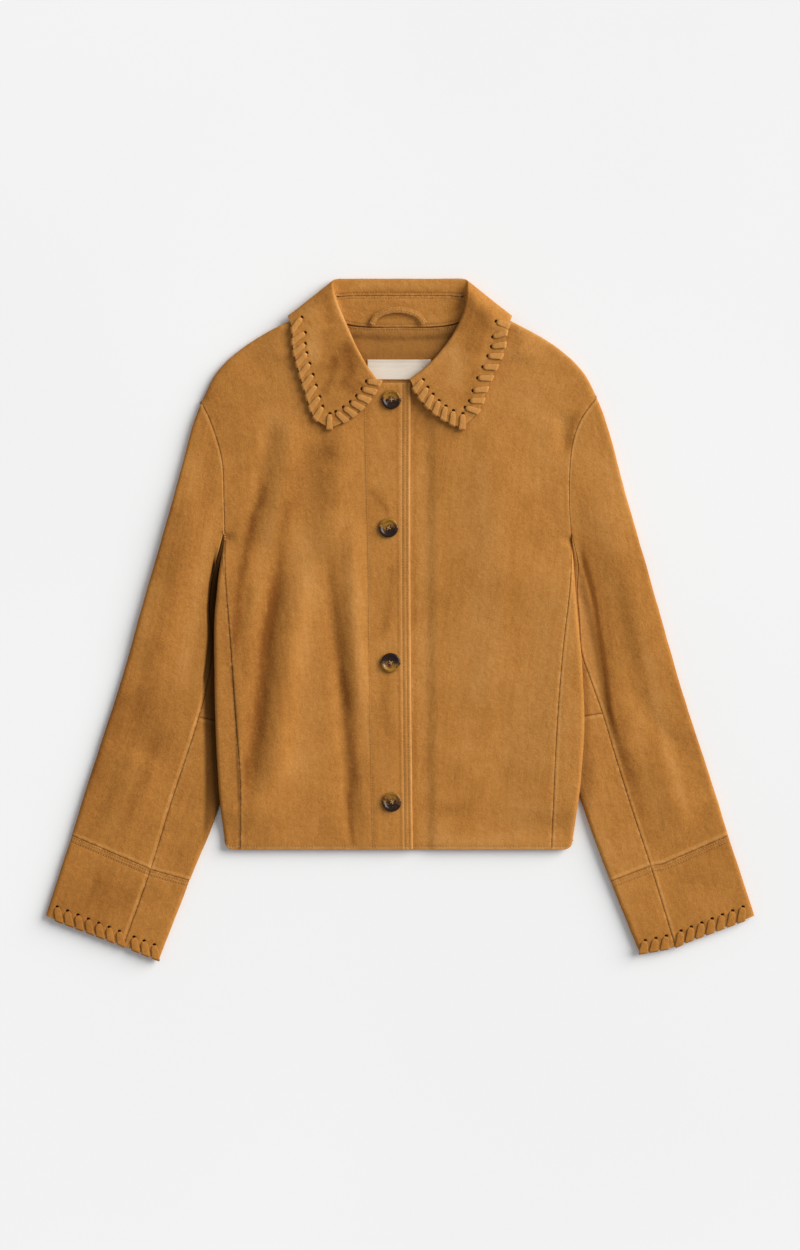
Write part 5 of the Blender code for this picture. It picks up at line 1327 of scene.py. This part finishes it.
def holes_at(pitch):
    return [Vector((cos(pi / 4 + k * pi / 2), sin(pi / 4 + k * pi / 2), 0)) * pitch / 2 ** 0.5 for k in range(4)]


def front_height(x, y):
    """Height of the right front's face at a place near the buttons."""
    return float(body_top("right", np.array(abs(x)), np.array(y)))


def button(number, x, y, settings):
    name, radius = f"button_{number}", settings.button_width * 500
    profile = Line([(px * radius, 0.0, pz * BUTTON["high"]) for px, pz in BUTTON_PROFILE])
    bm = bmesh.new()
    run = [bm.verts.new(p * MM) for p in profile.dense[::2]]
    edges = [bm.edges.new(pair) for pair in zip(run, run[1:])]
    bmesh.ops.spin(bm, geom=run + edges, axis=(0, 0, 1), cent=(0, 0, 0), angle=2 * pi, steps=72, use_merge=True)
    bmesh.ops.remove_doubles(bm, verts=bm.verts, dist=1e-6)
    bmesh.ops.recalc_face_normals(bm, faces=bm.faces)
    blank = linked("blank", mesh_of(name, bm))
    drills = bmesh.new()
    for place in holes_at(BUTTON["pitch"]):
        bmesh.ops.create_cone(drills, cap_ends=True, segments=24, radius1=BUTTON["hole"] / 2 * MM,
                              radius2=BUTTON["hole"] / 2 * MM, depth=20 * MM, matrix=Matrix.Translation(place * MM))
    drilled = cut_away(blank, mesh_of("drills", drills))
    bpy.data.objects.remove(blank)
    at = Vector((x, y, front_height(x, y) + BUTTON["above"]))
    drilled.transform(Matrix.Translation(at * MM) @ Matrix.Rotation(BUTTON_TURNS[number - 1], 4, "Z"))
    drilled.name = name
    drilled.materials.clear()
    add_piece(name, drilled, f"horn_{number}", [name], "horn")
    drilled.set_sharp_from_angle(angle=0.7)
    button_thread(number, at)
    buttonhole(number, x, y)


def bead(bm, centre, way, thick, long):
    """Adds a rounded bead of thread, with half its thickness and half its length in millimetres."""
    bmesh.ops.create_icosphere(bm, subdivisions=1, radius=1, matrix=Matrix.Translation(centre * MM)
                               @ way.to_track_quat("Z", "Y").to_matrix().to_4x4()
                               @ Matrix.Diagonal((thick * MM, thick * MM, long * MM, 1)))


def button_thread(number, at):
    """Two crossing stitches of double thread through the button's holes."""
    bm = bmesh.new()
    turn = Matrix.Rotation(BUTTON_TURNS[number - 1], 4, "Z")
    holes = [turn @ place for place in holes_at(BUTTON["pitch"])]
    rise = BUTTON["high"] * 0.62
    for a, b in ((0, 2), (1, 3)):
        for shift in (-THREAD["aside"], THREAD["aside"]):
            way = (holes[b] - holes[a]).normalized()
            beside_it = Vector((-way.y, way.x, 0)) * shift
            top = rise + 0.25 + 0.22 * (a == 1)
            points = [holes[a] + Vector((0, 0, 0.3)), holes[a] + Vector((0, 0, rise)),
                      mix(holes[a], holes[b], 0.2) + np.array((0, 0, top)),
                      mix(holes[a], holes[b], 0.8) + np.array((0, 0, top)), holes[b] + Vector((0, 0, rise)),
                      holes[b] + Vector((0, 0, 0.3))]
            run = Line(np.array([np.array(p) + np.array(beside_it) + np.array(at) for p in points]))
            tube(bm, round_ring(run.dense[::3], THREAD["radius"], THREAD["sides"]))
    return finish_mesh(f"button_{number}_thread", bm, "thread")


def buttonhole(number, x, y):
    """A slit across the front's edge, closely stitched all round. Most of it lies under the button."""
    bm = bmesh.new()
    turn = spaced(BUTTONHOLE["stitches"])[:-1] * 2 * pi
    reach, half = BUTTONHOLE["long"] / 2, BUTTONHOLE["across"] / 2
    plan = np.stack([x + BUTTONHOLE["aside"] + reach * np.cos(turn), y + half * np.sin(turn)], axis=-1)
    z = body_top("right", np.abs(plan[:, 0]), plan[:, 1])
    for (px, py), high, way in zip(plan, z, np.roll(plan, -1, axis=0) - np.roll(plan, 1, axis=0)):
        bead(bm, Vector((px, py, high + BUTTONHOLE["above"])), Vector((-way[1], way[0], 0)).normalized(),
             BUTTONHOLE["thick"], BUTTONHOLE["stitch"])
    finish_mesh(f"buttonhole_{number}", bm, "thread")
    # a flat near-black lens in the slit: painted shade in its opening
    slit = bmesh.new()
    middle = Vector((x + BUTTONHOLE["aside"], y, front_height(x, y)))
    bmesh.ops.create_icosphere(slit, subdivisions=3, radius=1, matrix=Matrix.Translation(middle * MM) @ Matrix.Diagonal(
        ((reach - 0.3) * MM, (half - 0.4) * MM, 0.3 * MM, 1)))
    finish_mesh(f"buttonhole_{number}_slit", slit, "painted_hole_shade")


def round_ring(points, radius, sides):
    """Rings round a run of points."""
    forward = units(np.gradient(points, axis=0))
    helper = np.where(np.abs(forward[:, 2:]) > 0.9, (1.0, 0.0, 0.0), (0.0, 0.0, 1.0))
    a = units(np.cross(forward, helper))
    b = np.cross(forward, a)
    turn = np.linspace(0, 2 * pi, sides + 1)
    cosine, sine = np.cos(turn)[None, :, None], np.sin(turn)[None, :, None]
    return points[:, None] + radius * (a[:, None] * cosine + b[:, None] * sine)


# ---- stitching ----
STITCH = {"thick": 0.85, "fill": 0.66, "sunk": 0.30}     # fill: share of the pitch that the thread takes


def row_on(piece_grid, side, distance):
    """Points of a panel's face along a row a fixed distance in from one of its sides."""
    runs = {"first": lambda g: np.swapaxes(g, 0, 1), "last": lambda g: np.swapaxes(g, 0, 1)[:, ::-1],
            "start": lambda g: g, "end": lambda g: g[:, ::-1]}[side](piece_grid)
    return np.array([resampled(run, [distance])[0] for run in runs])


def row_along(piece_grid, line):
    """Points of a panel's face along a line that crosses its rows in plan."""
    found = []
    for row in piece_grid:
        order = np.argsort(row[:, 0])
        x, y, z = row[order].T
        at = float(line.x_at(np.interp(line.x_at(y.mean()), x, y)))
        if x[0] <= at <= x[-1]:
            found.append((at, np.interp(at, x, y), np.interp(at, x, z)))
    return np.array(found)


def stitching(name, runs, settings):
    """Rows of short stitches, each a rounded bead of thread laid along its run of points."""
    bm = bmesh.new()
    pitch = settings.stitch_pitch * 1000
    for run in runs:
        reach = lengths(run)
        count = int(reach[-1] / pitch)
        for k in range(count):
            a, b = (resampled(run, [reach[-1] * (k + t) / count])[0] for t in (0.5 - STITCH["fill"] / 2,
                                                                             0.5 + STITCH["fill"] / 2))
            way, thick = Vector(b - a), STITCH["thick"] / 2
            bead(bm, Vector(a + b) / 2 + Vector((0, 0, thick - STITCH["sunk"])), way, thick, way.length / 2)
    return finish_mesh(name, bm, "thread")


TOPSTITCHED = {
    "front_right": ("front_right", [("end", place) for place in FRONT_ROWS] + [("first", HEM_ROW)]),
    "front_left": ("front_left", [("first", HEM_ROW)]),
    "collar_fall": ("collar_fall", [("start", COLLAR_ROW)]),
    "collar_stand": ("collar_stand", [("start", COLLAR_ROW), ("end", COLLAR_ROW)]),
    "facing": ("back_facing", [("last", COLLAR_ROW)]),
    "loop": ("hanger_loop", [("start", LOOP_ROW), ("end", LOOP_ROW)]),
    **{f"{label}_{side}": (f"{name}_{side}", [("first", place) for place in places]) for side in SIDES
       for label, name, places in (("side", "side_panel", (HEM_ROW,)), ("cuff_upper", "cuff_upper", CUFF_ROWS),
                                   ("cuff_under", "cuff_under", CUFF_ROWS))}}


def topstitching(settings):
    """Every row of topstitching, a piece for each panel that carries it."""
    for label, (name, places) in TOPSTITCHED.items():
        runs = [row_on(FACES[name], side, distance) for side, distance in places]
        if name == "front_right":
            runs.append(row_along(FACES[name], PLACKET))
        stitching(f"stitches_{label}", runs, settings)


# ---- looks ----
class Flow:
    """A shader value that is worked on with ordinary arithmetic; each step adds a node to its material."""

    def __init__(self, tree, socket):
        self.tree, self.socket = tree, socket

    def node(self, kind, wanted, inputs=(), **settings):
        """Adds any node, sets its inputs by name or number, and gives one of its outputs."""
        made = self.tree.nodes.new(f"ShaderNode{kind}")
        for name, value in settings.items():
            setattr(made, name, value)
        for name, value in dict(inputs).items():
            if isinstance(value, Flow):
                self.tree.links.new(value.socket, made.inputs[name])
            else:
                made.inputs[name].default_value = value
        return Flow(self.tree, made.outputs[wanted])

    def maths(self, operation, *values, clamp=False):
        return self.node("Math", 0, dict(enumerate(values)), operation=operation, use_clamp=clamp)

    def __add__(self, other):
        return self.maths("ADD", self, other)

    def __sub__(self, other):
        return self.maths("SUBTRACT", self, other)

    def __rsub__(self, other):
        return self.maths("SUBTRACT", other, self)

    def __mul__(self, other):
        return self.maths("MULTIPLY", self, other)

    __radd__, __rmul__ = __add__, __mul__

    def clamped(self):
        return self.maths("ADD", self, 0.0, clamp=True)

    def spread(self, low, high, to_low=0.0, to_high=1.0):
        """Values from low to high stretched smoothly over another range."""
        return self.node("MapRange", 0, {0: self, 1: low, 2: high, 3: to_low, 4: to_high},
                         interpolation_type="SMOOTHSTEP")

    def towards(self, colour, share):
        """This colour mixed with another by a share."""
        colour = colour if isinstance(colour, Flow) else (*colour, 1)
        return self.node("Mix", "Result", {"Factor": share, "A": self, "B": colour}, data_type="RGBA")


class Look:
    """A material under construction."""

    def __init__(self, name, roughness, **constants):
        self.made = LOOKS[name] = bpy.data.materials.new(f"{name}_look")
        self.made.use_nodes = True
        self.tree = self.made.node_tree
        self.shader = self.tree.nodes["Principled BSDF"]
        self.shader.inputs["Roughness"].default_value = roughness
        for label, value in constants.items():
            self.shader.inputs[label.replace("_", " ")].default_value = value
        self.start = Flow(self.tree, None)
        self.place = self.start.node("TexCoord", "Object")
        self.cloth = self.start.node("UVMap", 0, uv_map="cloth")

    def attribute(self, name):
        return self.start.node("Attribute", "Fac", attribute_name=name)

    def noise(self, size, detail=2.0, roughness=0.5, stretch=None, along_cloth=False, distortion=0.0):
        """Noise with features of a size in millimetres; stretch: how much longer they are on each axis."""
        vector = self.cloth if along_cloth else self.place
        if stretch:
            vector = self.start.node("VectorMath", 0, {0: vector, 1: [1 / s for s in stretch]},
                                     operation="MULTIPLY")
        return self.start.node("TexNoise", 0, {"Vector": vector, "Scale": 1000 / size, "Detail": detail,
                                               "Roughness": roughness, "Distortion": distortion})

    def colour(self, colour):
        return self.start.node("Mix", "Result", {"Factor": 0.0, "A": (*colour, 1), "B": (*colour, 1)},
                               data_type="RGBA")

    def bump(self, height, strength, distance, under=None):
        inputs = {"Height": height, "Strength": strength, "Distance": distance * MM}
        if under:
            inputs["Normal"] = under
        return self.start.node("Bump", 0, inputs)

    def set(self, **flows):
        for label, flow in flows.items():
            self.tree.links.new(flow.socket, self.shader.inputs[label.replace("_", " ")])
        return self.made


def suede(name, light, middle, dark, nap_and_painted_shade=1.0):
    """Brushed leather: cloudy tone, brushed streaks, painted highlight on ridges, painted shade in troughs and seams,
    painted shadow under neighbours, a painted falloff of light across the jacket, rubbed edges and a fine grain.
    """
    look = Look(name, 0.95, Sheen_Weight=0.02 * nap_and_painted_shade, Sheen_Roughness=0.5, Sheen_Tint=(1.0, 0.62, 0.28, 1),
                Specular_IOR_Level=0.03)
    clouds = look.noise(110, 3, 0.55).spread(0.34, 0.66, -0.5, 0.5)
    patches = look.noise(24, 4, 0.62, distortion=0.8).spread(0.32, 0.68, -0.5, 0.5)
    streaks = look.noise(7, 3, 0.62, stretch=(1, 9, 1), along_cloth=True).spread(0.33, 0.67, -0.5, 0.5)
    flecks = look.noise(4.5, 4, 0.72).spread(0.28, 0.72, -0.5, 0.5)
    grain = look.noise(1.3, 3, 0.75).spread(0.25, 0.75, -0.5, 0.5)
    # painted shade and highlight from the panels, and their seams, rows and thong holes painted darker as pressed
    # leather and as shade
    painted_shade_and_nap_tone, edge, press_and_painted_shade = look.attribute("nap_and_painted_shade"), look.attribute("edge"), look.attribute("press_and_painted_shade")
    # painted light: a broad falloff across the jacket, darkest at the wearer's right, palest on the left front and
    # darker again out on the left sleeve
    side = look.start.node("SeparateXYZ", "X", {0: look.place})
    across = side.spread(-0.42, 0.12, -0.13, 0.06) - side.spread(0.17, 0.36, 0.0, 0.13)
    tone = (clouds * 0.12 + patches * 0.09 + streaks * 0.08 + flecks * 0.11 + grain * 0.26 + across
            + painted_shade_and_nap_tone - press_and_painted_shade * 0.24 + edge * 0.06 + 0.5)
    colour = look.colour(dark).towards(middle, (tone * 2).clamped()).towards(light, (tone * 2 - 1).clamped())
    rub = (look.noise(5, 3, 0.6).spread(0.45, 0.7) * edge * 0.4).clamped()
    colour = colour.towards(mix(light, (0.80, 0.52, 0.25), 0.3), rub).towards(dark * 0.14, look.attribute("shadow"))
    fibre = look.noise(0.7, 3, 0.75)
    crumple = look.noise(5.5, 3, 0.55, distortion=0.4)
    normal = look.bump(fibre, 0.8, 0.35, look.bump(crumple, 0.8, 0.9))
    return look.set(Base_Color=colour, Normal=normal, Roughness=(patches * 0.08 + 0.92).clamped())


def looks(settings):
    light, middle, dark = (np.array(c) for c in (settings.suede_light, settings.suede, settings.suede_dark))
    suede("suede", light, middle, dark)
    # the inside look is a darker copy of the same suede: painted shade for the suede down inside the neck
    inside = np.array(settings.inside)
    suede("suede_inside", inside * 1.35, inside, inside * 0.55, 0.6)
    thong = np.array(settings.thong)
    suede("thong", thong * 1.25, thong, thong * 0.62, 1.2)
    # near-black: painted shade in the thong holes' cut faces and in the buttonhole slits
    cut = Look("painted_hole_shade", 1.0, Specular_IOR_Level=0.0)
    cut.set(Base_Color=cut.colour(np.array(settings.suede_dark) * 0.12))
    thread = Look("thread", 0.7, Specular_IOR_Level=0.3)
    thread.set(Base_Color=thread.colour(settings.thread).towards(np.array(settings.thread) * 0.55,
                                                                 thread.noise(0.5).spread(0.4, 0.6)))
    satin(settings.satin)
    for number, (_, y) in enumerate(BUTTON_PLACES, 1):
        horn(number, y, settings)


def satin(colour):
    """A shiny woven band, whose threads run across it."""
    look = Look("satin", 0.42, Sheen_Weight=0.3, Specular_IOR_Level=0.5)
    weft = look.noise(0.5, 2, 0.6, stretch=(14, 1, 1))
    shade = look.noise(9, 2).spread(0.3, 0.7)
    base = look.colour(colour).towards(np.array(colour) * 0.86, weft.spread(0.35, 0.65))
    look.set(Base_Color=base.towards(np.array(colour) * 0.93, shade), Normal=look.bump(weft, 0.35, 0.06))


HORN_SIDE = (0.75, 0.75, -0.75, 0.55)      # amber above (+) or below (-), per button
HORN_SHARE = 0.42


def horn(number, y, settings):
    """Polished tortoiseshell, amber towards one side and nearly black towards the other, with drifting clouds."""
    light, dark = np.array(settings.horn_light), np.array(settings.horn_dark)
    look = Look(f"horn_{number}", 0.3, Coat_Weight=0.12, Coat_Roughness=0.1, Specular_IOR_Level=0.22)
    down = look.start.node("SeparateXYZ", "Y", {0: look.place}) - y * MM
    clouds = look.noise(7, 3, 0.6, distortion=1.4)
    wisps = look.noise(2.2, 3, 0.65, stretch=(2.2, 1, 1), distortion=0.8)
    tone = down * (HORN_SIDE[number - 1] / (11 * MM)) + (clouds - 0.5) * 1.6 + (wisps - 0.5) * 0.9 + HORN_SHARE
    amber = look.colour(light).towards(light * (0.55, 0.42, 0.3), wisps.spread(0.4, 0.7))
    colour = look.colour(dark).towards(dark * 3 + light * 0.08, tone.spread(0.20, 0.5)).towards(
        amber, tone.spread(0.42, 0.75))
    look.set(Base_Color=colour, Roughness=wisps * 0.1 + 0.24)


def floor_look(colour):
    look = Look("floor", 0.9, Specular_IOR_Level=0.1)
    clouds = look.noise(900, 2).spread(0.3, 0.7)
    return look.set(Base_Color=look.colour(colour).towards(np.array(colour) * 0.97, clouds))


# ---- studio ----
CAMERA = {"at": (0.0, -6.2, 4000.0), "lens": 67.97, "sensor": 24.0}     # all in millimetres
# direction, the light's width as an angle, and its colour
KEY_LIGHT = {"from": (0.80, 0.42, 0.50), "spread": 0.80, "colour": (1.0, 0.985, 0.965)}
FILL_COLOUR = (0.97, 0.985, 1.0, 1)
FLOOR_ACROSS, FLOOR_DROP = 9.0, 0.0005


def studio(settings):
    bpy.ops.mesh.primitive_plane_add(size=FLOOR_ACROSS, location=(0, 0, -FLOOR_DROP))
    floor = bpy.context.object
    floor.name = "floor"
    floor.data.materials.append(floor_look(settings.floor))
    light = bpy.data.lights.new("key_light", "SUN")
    light.energy, light.angle, light.color = settings.key_light, KEY_LIGHT["spread"], KEY_LIGHT["colour"]
    key = linked("key_light", light)
    key.location = Vector(KEY_LIGHT["from"]) * 3
    key.rotation_euler = (-key.location).to_track_quat("-Z", "Y").to_euler()
    world = bpy.data.worlds.new("studio")
    world.use_nodes = True
    fill = world.node_tree.nodes["Background"].inputs
    fill["Color"].default_value, fill["Strength"].default_value = FILL_COLOUR, settings.fill_light
    bpy.context.scene.world = world
    camera_data = bpy.data.cameras.new("camera")
    camera_data.sensor_fit, camera_data.sensor_height, camera_data.lens = "VERTICAL", CAMERA["sensor"], CAMERA["lens"]
    camera_data.clip_end = 30
    camera = linked("camera", camera_data)
    camera.location = Vector(CAMERA["at"]) * MM
    bpy.context.scene.camera = camera
    bpy.context.scene.view_settings.view_transform = "Standard"


# ---- add-on ----
def colour_property(name, description, default):
    return FloatVectorProperty(name=name, description=description, default=default, subtype="COLOR", size=3,
                               min=0, max=1)


def length_property(name, description, default, smallest):
    return FloatProperty(name=name, description=description, default=default, min=smallest, unit="LENGTH")


class JacketSettings(bpy.types.PropertyGroup):
    suede: colour_property("Suede", "Colour of the suede where it lies flat", (0.455, 0.192, 0.042))
    suede_light: colour_property("Brushed suede", "Colour where the nap catches the light", (0.635, 0.312, 0.096))
    suede_dark: colour_property("Shaded suede", "Colour in troughs and pressed seams", (0.210, 0.073, 0.014))
    # a darker copy of the suede colour: painted shade inside the neck
    inside: colour_property("Inside", "Colour of the suede inside the neck", (0.345, 0.146, 0.034))
    thong: colour_property("Thong", "Colour of the lacing", (0.53, 0.245, 0.066))
    thread: colour_property("Thread", "Colour of the stitching", (0.60, 0.34, 0.125))
    horn_light: colour_property("Horn, light", "Amber part of the buttons", (0.34, 0.165, 0.018))
    horn_dark: colour_property("Horn, dark", "Dark part of the buttons", (0.018, 0.007, 0.004))
    satin: colour_property("Label", "Colour of the label", (0.80, 0.70, 0.58))
    floor: colour_property("Floor", "Colour of the floor", (0.905, 0.91, 0.912))
    thong_width: length_property("Thong width", "Width of the lacing", 0.0064, 0.002)
    thong_thickness: length_property("Thong thickness", "Thickness of the lacing", 0.0012, 0.0004)
    button_width: length_property("Button width", "Diameter of a button", 0.022, 0.01)
    stitch_pitch: length_property("Stitch pitch", "Length of a topstitch with its gap", 0.0031, 0.001)
    key_light: FloatProperty(name="Key light", description="Strength of the main light", default=3.97, min=0)
    fill_light: FloatProperty(name="Fill light", description="Strength of the light all round", default=0.40, min=0)


# ---- operators ----
class JACKET_OT_looks(bpy.types.Operator):
    """Make the materials"""
    bl_idname = "jacket.looks"
    bl_label = "Looks"

    def execute(self, context):
        looks(context.scene.jacket)
        return {"FINISHED"}


class JACKET_OT_body(bpy.types.Operator):
    """Make the two fronts, the side panels and the back"""
    bl_idname = "jacket.body"
    bl_label = "Body"

    def execute(self, context):
        for side in SIDES:
            front(side)
            side_panel(side)
        back()
        return {"FINISHED"}


class JACKET_OT_sleeves(bpy.types.Operator):
    """Make the sleeves and their cuffs"""
    bl_idname = "jacket.sleeves"
    bl_label = "Sleeves"

    def execute(self, context):
        for side in SIDES:
            sleeves(side)
            cuffs(side, context.scene.jacket)
        return {"FINISHED"}


class JACKET_OT_neck(bpy.types.Operator):
    """Make the collar with its lacing, and the facing, label and loop inside the neck"""
    bl_idname = "jacket.neck"
    bl_label = "Neck"

    def execute(self, context):
        if "back_panel" not in FACES:
            raise RuntimeError("Make the body before the neck")
        halves = {side: collar_rows(side) for side in SIDES}
        collar_fall(halves, context.scene.jacket)
        collar_stand(halves)
        facing()
        label()
        hanger_loop()
        return {"FINISHED"}


class JACKET_OT_buttons(bpy.types.Operator):
    """Make the buttons, the thread that holds them and the buttonholes"""
    bl_idname = "jacket.buttons"
    bl_label = "Buttons"

    def execute(self, context):
        for number, (x, y) in enumerate(BUTTON_PLACES, 1):
            button(number, x, y, context.scene.jacket)
        return {"FINISHED"}


class JACKET_OT_stitching(bpy.types.Operator):
    """Lay the rows of topstitching"""
    bl_idname = "jacket.stitching"
    bl_label = "Stitching"

    def execute(self, context):
        if "collar_fall" not in FACES:
            raise RuntimeError("Make the body, the sleeves and the neck before the stitching")
        topstitching(context.scene.jacket)
        return {"FINISHED"}


class JACKET_OT_studio(bpy.types.Operator):
    """Make the floor, the lights and the camera"""
    bl_idname = "jacket.studio"
    bl_label = "Studio"

    def execute(self, context):
        studio(context.scene.jacket)
        return {"FINISHED"}


OPERATORS = (JACKET_OT_looks, JACKET_OT_body, JACKET_OT_sleeves, JACKET_OT_neck, JACKET_OT_buttons,
             JACKET_OT_stitching, JACKET_OT_studio)


class JACKET_PT_panel(bpy.types.Panel):
    """Lists the jacket's settings and the steps that build it"""
    bl_idname = "JACKET_PT_panel"
    bl_label = "Suede Jacket"
    bl_space_type = "VIEW_3D"
    bl_region_type = "UI"
    bl_category = "Jacket"

    def draw(self, context):
        for name in JacketSettings.__annotations__:
            self.layout.prop(context.scene.jacket, name)
        for step in OPERATORS:
            self.layout.operator(step.bl_idname)


CLASSES = (JacketSettings, *OPERATORS, JACKET_PT_panel)


def register():
    for item in CLASSES:
        bpy.utils.register_class(item)
    bpy.types.Scene.jacket = PointerProperty(type=JacketSettings)


def unregister():
    del bpy.types.Scene.jacket
    for item in reversed(CLASSES):
        bpy.utils.unregister_class(item)


def main():
    register()
    for step in OPERATORS:
        getattr(bpy.ops.jacket, step.bl_idname.split(".")[1])()


if __name__ == "__main__":
    main()
